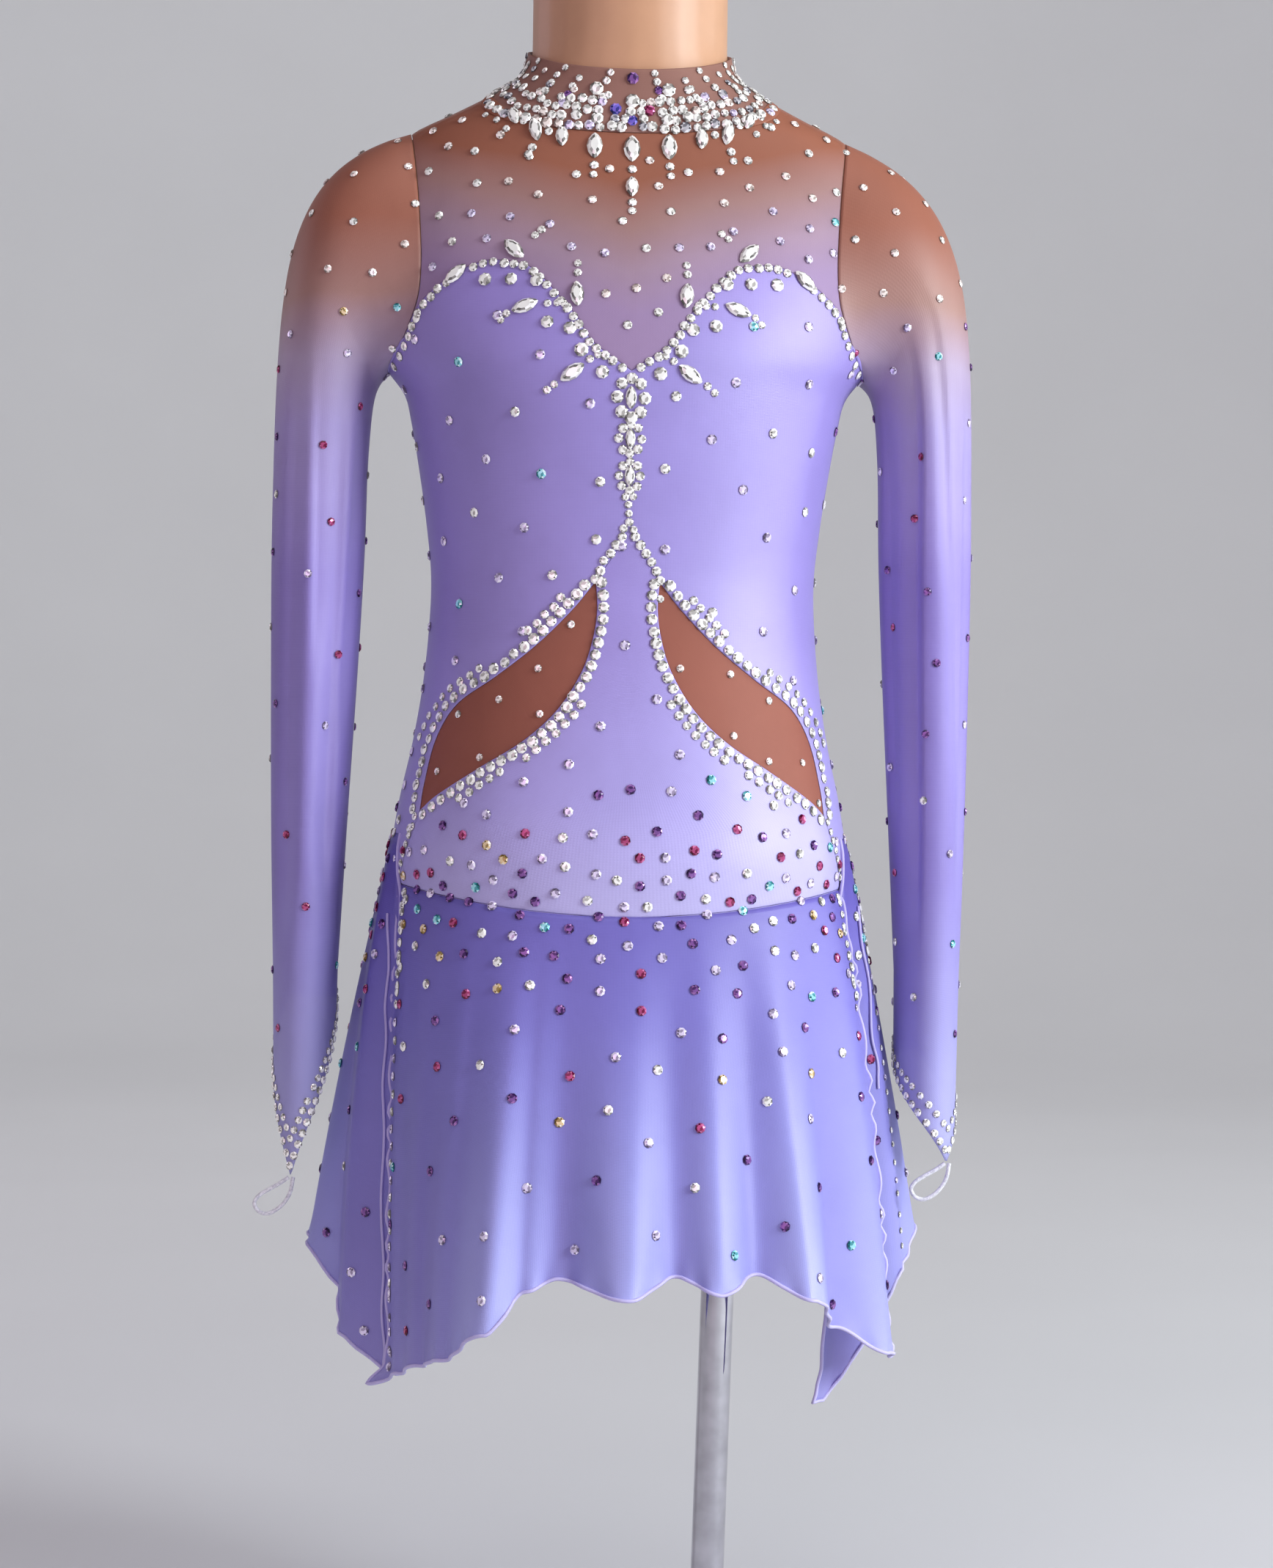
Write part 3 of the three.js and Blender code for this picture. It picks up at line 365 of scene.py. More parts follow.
def patch(bottom, top, left, right, columns, rows):
    """A grid of (angle, level) points inside four border lines that meet at the corners."""
    u = graded(columns)[None, :, None]
    v = graded(rows)[:, None, None]
    low, high = (resample(line, columns)[None] for line in (bottom, top))
    west, east = (resample(line, rows)[:, None] for line in (left, right))
    corners = (
        (1 - u) * (1 - v) * low[:, :1]
        + u * (1 - v) * low[:, -1:]
        + (1 - u) * v * high[:, :1]
        + u * v * high[:, -1:]
    )
    return (1 - v) * low + v * high + (1 - u) * west + u * east - corners


def sewn(grid, out=0.0, sink=0.22):
    """Patch points on the figure, with the borders sunk a little where they are sewn."""
    rows, columns = grid.shape[:2]
    depth = np.full((rows, columns), float(out))
    for index, share in ((0, 1.0), (1, 0.35)):
        for edge in (np.s_[index, :], np.s_[-1 - index, :], np.s_[:, index], np.s_[:, -1 - index]):
            depth[edge] = np.minimum(depth[edge], out - sink * share)
    pulled = grid.copy()
    for a, b in ((np.s_[0, :], np.s_[1, :]), (np.s_[-1, :], np.s_[-2, :])):
        pulled[a] = mix(grid[a], grid[b], 0.06)
    for a, b in ((np.s_[:, 0], np.s_[:, 1]), (np.s_[:, -1], np.s_[:, -2])):
        pulled[a] = mix(pulled[a], pulled[b], 0.06)
    return on_figure(pulled[..., 0], pulled[..., 1], depth)


# ---- Sleeves and skirt ---------------------------------------------------------------------

RING_CURVES = [
    Curve(range(len(SLEEVE_RINGS)), [row[k] for row in SLEEVE_RINGS]) for k in range(6)
]
LAST_RING = len(SLEEVE_RINGS) - 1
CAP_RING = 8  # the cap's last ring, above which the rows of faces lie closer


def fold_depth(side, turn, z):
    """How far a sleeve's long folds sink into it."""
    degrees = np.degrees(turn) % 360
    total = np.zeros(np.broadcast(degrees, z).shape)
    for centre, depth, before, after, top, bottom, drift in SLEEVE_FOLDS[side]:
        along = np.clip((top - z) / (top - bottom), 0, 1)
        away = (degrees - centre - drift * along + 540) % 360 - 180
        away = away / np.where(away < 0, before, after)
        run = np.clip((top - z) / 90, 0, 1) * np.clip((z - bottom) / 60, 0, 1)
        total = total + depth * np.exp(-away * away) * smooth(run)
    return total


def armhole_point(turn):
    """The armhole's seam on the figure, where a sleeve's turn meets it."""
    z = mix(SLEEVE_RINGS[0][1], SLEEVE_RINGS[0][3], (1 + np.cos(turn)) / 2)
    x = Curve([p[1] for p in ARMHOLE], [p[0] for p in ARMHOLE])(z) + 0.3
    angle = angle_of(x, z)
    point = figure(np.where(np.sin(turn) > 0, angle, math.pi - angle), z)
    point[..., 0] = x
    return point


def ring_point(values, turn, inset):
    """A point on a sleeve's ring, moved inwards by the inset."""
    in_x, in_z, out_x, out_z, front, back = values
    half = np.hypot(out_x - in_x, out_z - in_z) / 2
    depth = np.where(np.sin(turn) > 0, front, back)
    reach = (half - inset) * np.cos(turn)
    return np.stack(
        [
            (in_x + out_x) / 2 + (out_x - in_x) / (2 * half) * reach,
            -(depth - inset) * np.sin(turn),
            (in_z + out_z) / 2 + (out_z - in_z) / (2 * half) * reach,
        ],
        axis=-1,
    )


def cuff_z(side, turn):
    """The height of a cuff's pointed edge."""
    high, low, tip, reach = CUFF_EDGE[side]
    away = np.abs((np.degrees(turn) - tip + 540) % 360 - 180) / reach
    return mix(low, high, np.minimum(1, away) ** 0.92)


def sleeve_points(side, ring, turn):
    """Points over a sleeve: ring 0 is the armhole and the cuff follows the last ring."""
    ring, turn = np.broadcast_arrays(np.asarray(ring, float), np.asarray(turn, float))
    above = np.minimum(ring, LAST_RING)
    values = [curve(above) for curve in RING_CURVES]
    share = np.clip(ring - LAST_RING, 0, 1)
    for k, target in ((0, CUFF[0]), (2, CUFF[1]), (4, CUFF[2]), (5, CUFF[3])):
        values[k] = mix(values[k], target, share)
    plain = ring_point(values, turn, 0.0)
    point = ring_point(values, turn, fold_depth(side, turn, plain[..., 2]))
    if side > 0:
        drop = LEFT_SHOULDER_DROP * np.sin(math.pi * np.clip(ring / 10, 0, 1))
        point[..., 2] -= drop * (1 + np.cos(turn)) / 2
    from_seam = np.clip(1 - ring / 5, 0, 1) ** 2
    first = [np.full(turn.shape, float(v)) for v in SLEEVE_RINGS[0]]
    shift = armhole_point(turn) - ring_point(first, turn, 0.0)
    point = point + shift * from_seam[..., None]
    edge = cuff_z(side, turn)
    point[..., 2] = np.where(share > 0, mix(SLEEVE_RINGS[-1][1], edge, share), point[..., 2])
    point[..., 0] *= side
    return point


def fold_at(rows, column, degrees):
    """A column of a skirt table, eased between its rows."""
    angles = np.array([row[0] for row in rows], float)
    values = np.array([row[column] for row in rows], float)
    i = np.clip(np.searchsorted(angles, degrees, side="right") - 1, 0, len(rows) - 2)
    share = np.clip((degrees - angles[i]) / (angles[i + 1] - angles[i]), 0, 1)
    return mix(values[i], values[i + 1], smooth(share))


def skirt_points(rows, degrees, share, top):
    """Points over a skirt panel at angles and shares of its drop."""
    angle = np.radians(degrees)
    level = np.maximum(top, HIP_Z)
    drop = (top - fold_at(rows, 2, degrees)) * share
    start = on_figure(angle, level, 0.1 + 0.8 * smooth(drop / 7))
    outward = figure_normal(angle, level)
    outward[..., 2] = 0
    outward = unit(outward)
    way = drop / SKIRT_REFERENCE_DROP
    bow = fold_at(rows, 3, degrees) * SKIRT_MEAN_OUT
    flare = bow * way * (1.25 - 0.25 * way)
    fold = (fold_at(rows, 1, degrees) - bow) * way**1.4
    point = start + outward * (flare + fold)[..., None]
    point[..., 2] = top - drop
    return point


def grid_normals(points, closed=False):
    """Outward normals of a grid whose columns run to the wearer's left and rows run up."""
    if closed:
        across = np.roll(points, -1, axis=1) - np.roll(points, 1, axis=1)
    else:
        across = np.gradient(points, axis=1)
    return unit(np.cross(across, np.gradient(points, axis=0)))


# ---- Mesh helpers --------------------------------------------------------------------------


def new_object(name, mesh):
    obj = bpy.data.objects.new(name, mesh)
    bpy.context.scene.collection.objects.link(obj)
    return obj


def only(obj):
    """Selects one object and makes it active."""
    bpy.ops.object.select_all(action="DESELECT")
    obj.select_set(True)
    bpy.context.view_layer.objects.active = obj


def apply_modifier(obj, kind, **settings):
    modifier = obj.modifiers.new(kind.title(), kind)
    for key, value in settings.items():
        setattr(modifier, key, value)
    only(obj)
    bpy.ops.object.modifier_apply(modifier=modifier.name)


def set_material(obj, material):
    obj.data.materials.clear()
    obj.data.materials.append(material)
    for polygon in obj.data.polygons:
        polygon.material_index = 0


def grid_faces(rows, columns, closed=False):
    """The faces between a grid's points, row by row."""
    index = np.arange(rows * columns).reshape(rows, columns)
    across = columns if closed else columns - 1
    faces = []
    for j in range(rows - 1):
        for i in range(across):
            k = (i + 1) % columns
            faces.append((index[j, i], index[j, k], index[j + 1, k], index[j + 1, i]))
    return faces


def walled(mesh, material, thickness, merge=0.002):
    """A mesh as a wall of cloth, with its points closer than the merge distance made one."""
    obj = new_object(mesh.name, mesh)
    joined = bmesh.new()
    joined.from_mesh(mesh)
    bmesh.ops.remove_doubles(joined, verts=joined.verts, dist=merge * MM)
    joined.to_mesh(mesh)
    joined.free()
    mesh.shade_smooth()
    apply_modifier(obj, "SOLIDIFY", thickness=thickness * MM, offset=-1)
    set_material(obj, material)
    return obj


def cloth(name, points, material, thickness, closed=False, fold_shade=None):
    """A wall of cloth on a grid of points in millimetres, with a UV map in centimetres."""
    rows, columns = points.shape[:2]
    mesh = bpy.data.meshes.new(name)
    faces = grid_faces(rows, columns, closed)
    mesh.from_pydata((points.reshape(-1, 3) * MM).tolist(), [], faces)
    middle = points[rows // 2]
    wide = run_along(middle)
    wide = np.append(wide, wide[-1] + np.linalg.norm(middle[0] - middle[-1]))
    heights = np.linalg.norm(np.diff(points, axis=0), axis=2).mean(axis=1)
    tall = np.concatenate([[0], np.cumsum(heights)])
    uv = mesh.uv_layers.new(name="cloth")
    places = []
    for j in range(rows - 1):
        for i in range(columns if closed else columns - 1):
            for a, b in ((i, j), (i + 1, j), (i + 1, j + 1), (i, j + 1)):
                places.extend((wide[a] / 10, tall[b] / 10))
    uv.data.foreach_set("uv", places)
    # Per point: how much painted shade a fold's hollow gets, or painted highlight its ridge.
    if fold_shade is not None:
        shade = mesh.attributes.new("fold_shade", "FLOAT", "POINT")
        shade.data.foreach_set("value", fold_shade.reshape(-1))
    return walled(mesh, material, thickness)


def frame_copy(node, name):
    """A copy of a piece of the frame, with its doubled points merged."""
    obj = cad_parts[node].copy()
    obj.data = obj.data.copy()
    obj.name = obj.data.name = name
    for key in [key for key in obj.keys() if key.startswith("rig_")]:
        del obj[key]
    obj.parent = None
    bpy.context.scene.collection.objects.link(obj)
    only(obj)
    bpy.ops.object.mode_set(mode="EDIT")
    bpy.ops.mesh.select_all(action="SELECT")
    bpy.ops.mesh.remove_doubles(threshold=0.01 * MM)
    bpy.ops.object.mode_set(mode="OBJECT")
    return obj


def placed(obj, slot, *nodes):
    """Hangs a finished piece on the root and hides its CAD nodes; the slot, its finish, is unused.
    """
    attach(obj, "root")
    if nodes:
        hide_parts(*nodes)
    return obj


def tube(name, points, radius, material, sides):
    """A round strand along points in millimetres."""
    curve = bpy.data.curves.new(name, "CURVE")
    curve.dimensions = "3D"
    spline = curve.splines.new("POLY")
    spline.points.add(len(points) - 1)
    for target, point in zip(spline.points, points):
        target.co = (*(np.asarray(point) * MM), 1)
    curve.bevel_depth = radius * MM
    curve.bevel_resolution = sides
    curve.use_fill_caps = True
    obj = new_object(name, curve)
    only(obj)
    bpy.ops.object.convert(target="MESH")
    obj = bpy.context.view_layer.objects.active
    obj.data.shade_smooth()
    set_material(obj, material)
    return obj


def turned(name, profile, material, segments, capped=True):
    """A round piece raised ring by ring from a circle, about the Z axis."""
    bpy.ops.object.select_all(action="DESELECT")
    radius, z = profile[0]
    bpy.ops.mesh.primitive_circle_add(
        vertices=segments, radius=radius * MM, fill_type="NOTHING", location=(0, 0, z * MM)
    )
    obj = bpy.context.view_layer.objects.active
    obj.name = obj.data.name = name
    bpy.ops.object.transform_apply(location=True, rotation=True, scale=True)
    bpy.ops.object.mode_set(mode="EDIT")
    bpy.ops.mesh.select_all(action="SELECT")
    if capped:
        bpy.ops.mesh.edge_face_add()
    for next_radius, next_z in profile[1:]:
        shift = (0, 0, (next_z - z) * MM)
        bpy.ops.mesh.extrude_region_move(TRANSFORM_OT_translate={"value": shift})
        if abs(next_radius - radius) > 1e-6:
            k = next_radius / radius
            bpy.ops.transform.resize(value=(k, k, 1), center_override=(0, 0, next_z * MM))
        radius, z = next_radius, next_z
    bpy.ops.mesh.select_all(action="SELECT")
    bpy.ops.mesh.remove_doubles(threshold=1e-6)
    bpy.ops.mesh.normals_make_consistent(inside=False)
    bpy.ops.object.mode_set(mode="OBJECT")
    only(obj)
    bpy.ops.object.shade_smooth_by_angle(angle=math.radians(32))
    set_material(obj, material)
    return obj


# ---- Materials -----------------------------------------------------------------------------


def linear(rgb):
    """An sRGB colour of 0 to 255 as linear light."""
    values = [c / 255 for c in rgb]
    return tuple(c / 12.92 if c <= 0.04045 else ((c + 0.055) / 1.055) ** 2.4 for c in values)


class Finish:
    """A material and short ways to add and link its nodes."""

    def __init__(self, name, **sockets):
        self.material = bpy.data.materials.new(name)
        self.material.use_nodes = True
        self.tree = self.material.node_tree
        self.shader = self.tree.nodes["Principled BSDF"]
        for key, value in sockets.items():
            self.shader.inputs[key.replace("_", " ")].default_value = value

    def node(self, kind, **settings):
        made = self.tree.nodes.new(kind)
        for key, value in settings.items():
            if key in made.inputs:
                made.inputs[key].default_value = value
            else:
                setattr(made, key, value)
        return made

    def link(self, output, target):
        self.tree.links.new(output, target)

    def coordinates(self, kind="Object"):
        return self.node("ShaderNodeTexCoord").outputs[kind]

    def ramp(self, value, stops):
        ramp = self.node("ShaderNodeValToRGB")
        elements = ramp.color_ramp.elements
        while len(elements) < len(stops):
            elements.new(0.5)
        for element, (place, colour) in zip(elements, stops):
            element.position = place
            element.color = (*colour, 1)
        self.link(value, ramp.inputs["Fac"])
        return ramp.outputs["Color"]

    def by_height(self, stops, tilt, blur):
        """A colour by height, from (z in mm, sRGB) stops; tilt lowers it towards the sides."""
        split = self.node("ShaderNodeSeparateXYZ")
        self.link(self.coordinates(), split.inputs["Vector"])
        low, high = stops[0][0], stops[-1][0]
        height = split.outputs["Z"]
        if tilt:
            side = self.node("ShaderNodeMath", operation="ABSOLUTE")
            self.link(split.outputs["X"], side.inputs[0])
            height = self.raised(height, side.outputs[0], tilt)
        if blur:
            height = self.raised(height, self.noise(14.0, 2), blur)
        fit = self.node("ShaderNodeMapRange")
        fit.inputs["From Min"].default_value = low * MM
        fit.inputs["From Max"].default_value = high * MM
        self.link(height, fit.inputs["Value"])
        places = [((z - low) / (high - low), linear(colour)) for z, colour in stops]
        return self.ramp(fit.outputs["Result"], places)

    def raised(self, height, value, amount):
        """A height raised by an amount of another value."""
        total = self.node("ShaderNodeMath", operation="MULTIPLY_ADD")
        self.link(value, total.inputs[0])
        total.inputs[1].default_value = amount
        self.link(height, total.inputs[2])
        return total.outputs[0]

    def noise(self, scale, detail):
        texture = self.node("ShaderNodeTexNoise", Scale=scale, Detail=detail)
        self.link(self.coordinates(), texture.inputs["Vector"])
        return texture.outputs["Fac"]

    def patchy(self, scale, detail, dark, pale, low=0.3, high=0.7):
        """A colour that goes between two others in soft patches."""
        return self.ramp(self.noise(scale, detail), [(low, dark), (high, pale)])

    def shaded(self, colour, shade):
        """A colour multiplied by a shade."""
        blend = self.node("ShaderNodeMix", data_type="RGBA", blend_type="MULTIPLY")
        blend.inputs["Factor"].default_value = 1.0
        self.link(colour, blend.inputs[6])
        self.link(shade, blend.inputs[7])
        return blend.outputs[2]

    def mottled(self, colour, amount, scale):
        """A colour that is a little lighter and darker in soft patches."""
        return self.shaded(colour, self.patchy(scale, 3, (1 - amount,) * 3, (1 + amount,) * 3))

    def fold_shaded(self, colour, amount):
        """A colour with painted shade in fold hollows and a painted highlight on fold ridges."""
        share = self.node("ShaderNodeAttribute", attribute_name="fold_shade").outputs["Fac"]
        deep = (1 - amount, 1 - 1.3 * amount, 1 - 0.75 * amount)
        pale = (1 + 0.6 * amount, 1 + 0.7 * amount, 1 + 0.35 * amount)
        return self.shaded(colour, self.ramp(share, [(0.0, deep), (0.5, (1, 1, 1)), (1.0, pale)]))

    def weave(self, pitch, strength):
        """A fine knit on the cloth's own UV map; pitch in millimetres."""
        coordinates = self.coordinates("UV")
        waves = []
        for direction in ("X", "Y"):
            wave = self.node("ShaderNodeTexWave", wave_type="BANDS", bands_direction=direction)
            wave.inputs["Scale"].default_value = 10 / (math.pi * pitch)
            self.link(coordinates, wave.inputs["Vector"])
            waves.append(wave.outputs["Fac"])
        both = self.node("ShaderNodeMath", operation="MULTIPLY")
        self.link(waves[0], both.inputs[0])
        self.link(waves[1], both.inputs[1])
        return self.bump(both.outputs[0], strength, 0.0002)

    def bump(self, height, strength, distance, below=None):
        bump = self.node("ShaderNodeBump", Strength=strength, Distance=distance)
        self.link(height, bump.inputs["Height"])
        if below is not None:
            self.link(below, bump.inputs["Normal"])
        return bump.outputs["Normal"]

    def colour(self, output):
        self.link(output, self.shader.inputs["Base Color"])

    def normal(self, output):
        self.link(output, self.shader.inputs["Normal"])


def cloth_finish(name, stops, roughness, shine, alpha=1.0, pitch=0.7, tilt=0.0, blur=0.0,
                 folds=0.0):
    """A stretch cloth, coloured by height, with its knit and painted fold shade and highlights."""
    finish = Finish(name, Roughness=roughness, Specular_IOR_Level=shine, Alpha=alpha)
    colour = finish.mottled(finish.by_height(stops, tilt, blur), 0.04, 22.0)
    if folds:
        colour = finish.fold_shaded(colour, folds)
    finish.colour(colour)
    soft = finish.bump(finish.noise(26.0, 2), 0.3, 0.002, finish.weave(pitch, 0.25))
    finish.normal(finish.bump(finish.noise(900.0, 2), 0.12, 0.0002, soft))
    return finish.material


def stone_finish(name):
    """Cut crystal with a foiled back; each facet's tint holds painted glints and painted shade."""
    # The facets glow faintly in their tint: a painted sparkle that keeps the stones bright in
    # shade.
    finish = Finish(name, Roughness=0.1, Metallic=0.3, Emission_Strength=0.13)
    tint = finish.node("ShaderNodeAttribute", attribute_name="stone_colour_and_glints")
    finish.colour(tint.outputs["Color"])
    finish.link(tint.outputs["Color"], finish.shader.inputs["Emission Color"])
    return finish.material


def make_finishes():
    """Every finish of the dress and its stand, by name."""
    finishes = {
        "satin": cloth_finish(
            "lavender satin",
            [(411, (180, 172, 226)), (470, (170, 160, 222)), (560, (156, 142, 212)),
             (700, (152, 138, 210)), (753, (148, 130, 204))],
            0.5, 1.0,
        ),
        "panel": cloth_finish(
            "lavender satin panel",
            [(411, (190, 184, 234)), (470, (172, 162, 226)), (560, (154, 138, 210)),
             (612, (150, 134, 206))],
            0.5, 1.0,
        ),
        "yoke": cloth_finish(
            "sheer yoke",
            [(728, (178, 152, 194)), (752, (184, 156, 178)), (776, (180, 140, 136)),
             (800, (168, 104, 80)), (860, (172, 108, 84))],
            0.6, 0.4, alpha=0.66, pitch=0.9, tilt=-0.27, blur=0.01,
        ),
        "nude": cloth_finish(
            "nude mesh", [(460, (176, 106, 88)), (600, (172, 102, 84))],
            0.62, 0.4, alpha=0.6, pitch=0.9,
        ),
        "collar": cloth_finish(
            "collar mesh", [(820, (168, 124, 112)), (890, (150, 104, 90))],
            0.6, 0.4, alpha=0.75, pitch=0.9,
        ),
        "sleeve": cloth_finish(
            "ombre sleeve mesh",
            [(268, (190, 194, 242)), (340, (180, 180, 236)), (440, (156, 144, 216)),
             (600, (152, 136, 210)), (680, (172, 158, 214)), (716, (184, 166, 194)),
             (748, (174, 132, 122)), (790, (166, 102, 80)), (835, (170, 106, 84))],
            0.52, 0.6, alpha=0.84, pitch=0.9, blur=0.02, folds=0.26,
        ),
        "skirt": cloth_finish(
            "ombre skirt cloth",
            [(150, (178, 182, 238)), (200, (164, 166, 232)), (280, (148, 148, 220)),
             (360, (126, 120, 203)), (452, (100, 87, 177))],
            0.48, 0.7, alpha=0.97, pitch=0.9, folds=0.26,
        ),
        "hem": cloth_finish(
            "rolled hem thread", [(140, (206, 200, 244)), (460, (186, 176, 232))], 0.55, 0.5,
        ),
    }
    skin = Finish("form skin", Roughness=0.46, Coat_Weight=0.08, Coat_Roughness=0.3)
    tan = skin.patchy(3.0, 1, linear((194, 146, 112)), linear((202, 154, 120)))
    skin.colour(skin.mottled(tan, 0.03, 60.0))
    skin.normal(skin.bump(skin.noise(420.0, 2), 0.08, 0.0003))
    finishes["skin"] = skin.material
    chrome = Finish("chrome tube", Roughness=0.08, Metallic=1.0)
    chrome.colour(chrome.patchy(90.0, 2, (0.50, 0.49, 0.53), (0.62, 0.61, 0.66)))
    finishes["chrome"] = chrome.material
    steel = Finish("brushed base", Roughness=0.32, Metallic=1.0)
    steel.colour(steel.patchy(40.0, 4, (0.5, 0.51, 0.54), (0.62, 0.63, 0.66)))
    steel.normal(steel.bump(steel.noise(600.0, 3), 0.1, 0.0002))
    finishes["steel"] = steel.material
    elastic = Finish("white elastic", Roughness=0.7, Sheen_Weight=0.2)
    elastic.colour(elastic.patchy(800.0, 2, (0.62, 0.62, 0.68), (0.86, 0.86, 0.9), 0.35, 0.6))
    finishes["elastic"] = elastic.material
    finishes["stone"] = stone_finish("cut crystal")
    floor = Finish("pale floor", Roughness=0.85)
    floor.colour(floor.patchy(2.0, 2, (0.69, 0.69, 0.7), (0.72, 0.72, 0.73), 0.2, 0.8))
    finishes["floor"] = floor.material
    return finishes


FINISHES = make_finishes()

# ---- Stones --------------------------------------------------------------------------------

STONE_COLOURS = {
    "clear": (0.94, 0.91, 0.84),
    "lilac": (0.66, 0.55, 0.84),
    # A dark grey, strewn thickly on the collar's sides as painted shade.
    "smoke": (0.30, 0.29, 0.34),
    "pearl": (0.96, 0.78, 0.70),
    "purple": (0.10, 0.03, 0.22),
    "wine": (0.34, 0.01, 0.09),
    "aqua": (0.08, 0.62, 0.70),
    "gold": (0.72, 0.46, 0.12),
    "blue": (0.05, 0.07, 0.50),
}
# A facet's painted shade and how far it goes towards white, a painted glint: for the crown's
# facets in turn, and for the stone's other parts. The dark base and girdle are painted shade
# round the stone; the table's lit and dim sides are a painted highlight and painted shade.
GLEAMS = [(1.1, 0.5), (0.3, 0.0), (1.0, 0.15), (0.5, 0.0), (1.1, 0.75), (0.16, 0.0), (0.8, 0.3)]
PART_GLEAMS = {
    "base": (0.28, 0.0), "girdle": (0.28, 0.0), "table": (1.1, 0.3), "lit": (1.1, 0.3),
    "dim": (0.5, 0.05),
}
DARK_STONES = ("purple", "wine", "blue")
# The colour of the painted glint on dark stones.
DARK_GLEAM = (1.0, 0.5, 0.92)
ROUND_LIFT = 0.1  # how far a stone's base lies off the cloth
MARQUISE_LIFT = 0.3
MARQUISE_TALL = 2.6


def round_template(sides=8):
    """A round faceted stone of radius 1, base down: points, faces and each face's part."""
    turns = np.arange(sides) * 2 * math.pi / sides
    half = math.pi / sides
    rings = [(0.92, 0.0, 0), (1.0, 0.18, 0), (0.6, 0.46, half)]  # radius, height, turn
    points = [
        (r * math.cos(t + shift), r * math.sin(t + shift), h)
        for r, h, shift in rings
        for t in turns
    ]
    faces, parts = [tuple(reversed(range(sides)))], ["base"]
    for i in range(sides):
        k = (i + 1) % sides
        faces.append((i, k, sides + k, sides + i))
        faces.append((sides + i, sides + k, 2 * sides + i))
        faces.append((sides + k, 2 * sides + k, 2 * sides + i))
        faces.append((2 * sides + i, 2 * sides + k, 3 * sides))
        # The table's facets fall on a lit side and a dim side: a painted highlight and painted
        # shade.
        parts += ["girdle", "crown", "crown", "lit" if i < sides * 0.6 else "dim"]
    return np.array(points + [(0, 0, 0.49)]), faces, parts


def marquise_template():
    """A pointed oval of length 2 and width 2 before it is scaled, base down."""
    turns = [math.pi * k / 6 for k in range(12)]
    outline = [
        (math.cos(t), math.copysign(abs(math.sin(t)) ** 1.5, math.sin(t))) for t in turns
    ]
    levels = [(0.93, 0.0), (1.0, 0.2), (0.78, 0.62), (0.5, 0.9)]
    points = [(x * s, y * s, h) for s, h in levels for x, y in outline]
    faces, parts = [tuple(reversed(range(12)))], ["base"]
    for ring, part in ((0, "girdle"), (12, "crown"), (24, "crown")):
        for i in range(12):
            k = (i + 1) % 12
            faces.append((ring + i, ring + k, ring + 12 + k, ring + 12 + i))
            parts.append(part)
    faces.append(tuple(range(36, 48)))
    return np.array(points), faces, parts + ["table"]


class StoneTray:
    """Collects stones and makes them one mesh."""

    def __init__(self, seed):
        self.points, self.faces, self.tints = [], [], []
        self.count = 0
        self.random = random.Random(seed)
        self.round = round_template()
        self.marquise = marquise_template()

    def place(self, template, centre, normal, along, scale, colour):
        points, faces, parts = template
        normal = unit(np.asarray(normal, float))
        along = unit(np.asarray(along, float) - normal * np.dot(along, normal))
        across = np.cross(normal, along)
        shape = (points * scale) @ np.stack([along, across, normal])
        self.points.append(np.asarray(centre) + shape)
        base = STONE_COLOURS[colour]
        # A dark stone's painted glint goes only part way, to a pale purple.
        gleam, share = (DARK_GLEAM, 0.45) if colour in DARK_STONES else ((1.0, 1.0, 1.0), 1.0)
        start = self.random.randrange(len(GLEAMS))
        for number, (face, part) in enumerate(zip(faces, parts)):
            self.faces.append(tuple(self.count + v for v in face))
            # Each face: the stone's colour times a painted shade, mixed towards the glint as a
            # painted glint.
            shade, white = GLEAMS[(start + number * 3) % len(GLEAMS)]
            shade, white = PART_GLEAMS.get(part, (shade, white))
            self.tints.append(
                [min(1.0, mix(base[k] * shade, gleam[k], white * share)) for k in range(3)]
            )
        self.count += len(points)

    def add_round(self, centre, normal, size, colour="clear"):
        centre = np.asarray(centre, float) + unit(np.asarray(normal, float)) * ROUND_LIFT
        turn = self.random.uniform(0, 2 * math.pi)
        rough = np.array([math.cos(turn), math.sin(turn), 0.3])
        half = size / 2
        self.place(self.round, centre, normal, rough, np.array([half, half, half]), colour)

    def add_marquise(self, centre, normal, along, long, wide):
        centre = np.asarray(centre, float) + unit(np.asarray(normal, float)) * MARQUISE_LIFT
        scale = np.array([long / 2, wide / 2, MARQUISE_TALL])
        self.place(self.marquise, centre, normal, along, scale, "clear")

    def build(self, name):
        mesh = bpy.data.meshes.new(name)
        mesh.from_pydata((np.concatenate(self.points) * MM).tolist(), [], self.faces)
        tint = mesh.color_attributes.new("stone_colour_and_glints", "FLOAT_COLOR", "CORNER")
        values = []
        for face, colour in zip(self.faces, self.tints):
            values.extend([*colour, 1.0] * len(face))
        tint.data.foreach_set("color", values)
        obj = new_object(name, mesh)
        set_material(obj, FINISHES["stone"])
        return obj


def front_place(x, z, out=0.0):
    """A point and normal on the front of the figure."""
    angle = angle_of(x, z)
    return on_figure(angle, z, out), figure_normal(angle, z)


def along_line(points, spacing, start=0.0):
    """Points spaced along a line, from a distance after its start."""
    points = np.asarray(points, float)
    run = run_along(points)
    count = max(1, int(round((run[-1] - start) / spacing)))
    at = np.linspace(start, run[-1], count + 1)
    return np.stack([np.interp(at, run, points[:, k]) for k in range(points.shape[1])], axis=1)


def offset_line(points, distance):
    """A front view line moved to its left side by a distance."""
    points = np.asarray(points, float)
    run = unit(np.gradient(points, axis=0))
    return points + np.stack([-run[:, 1], run[:, 0]], axis=1) * distance


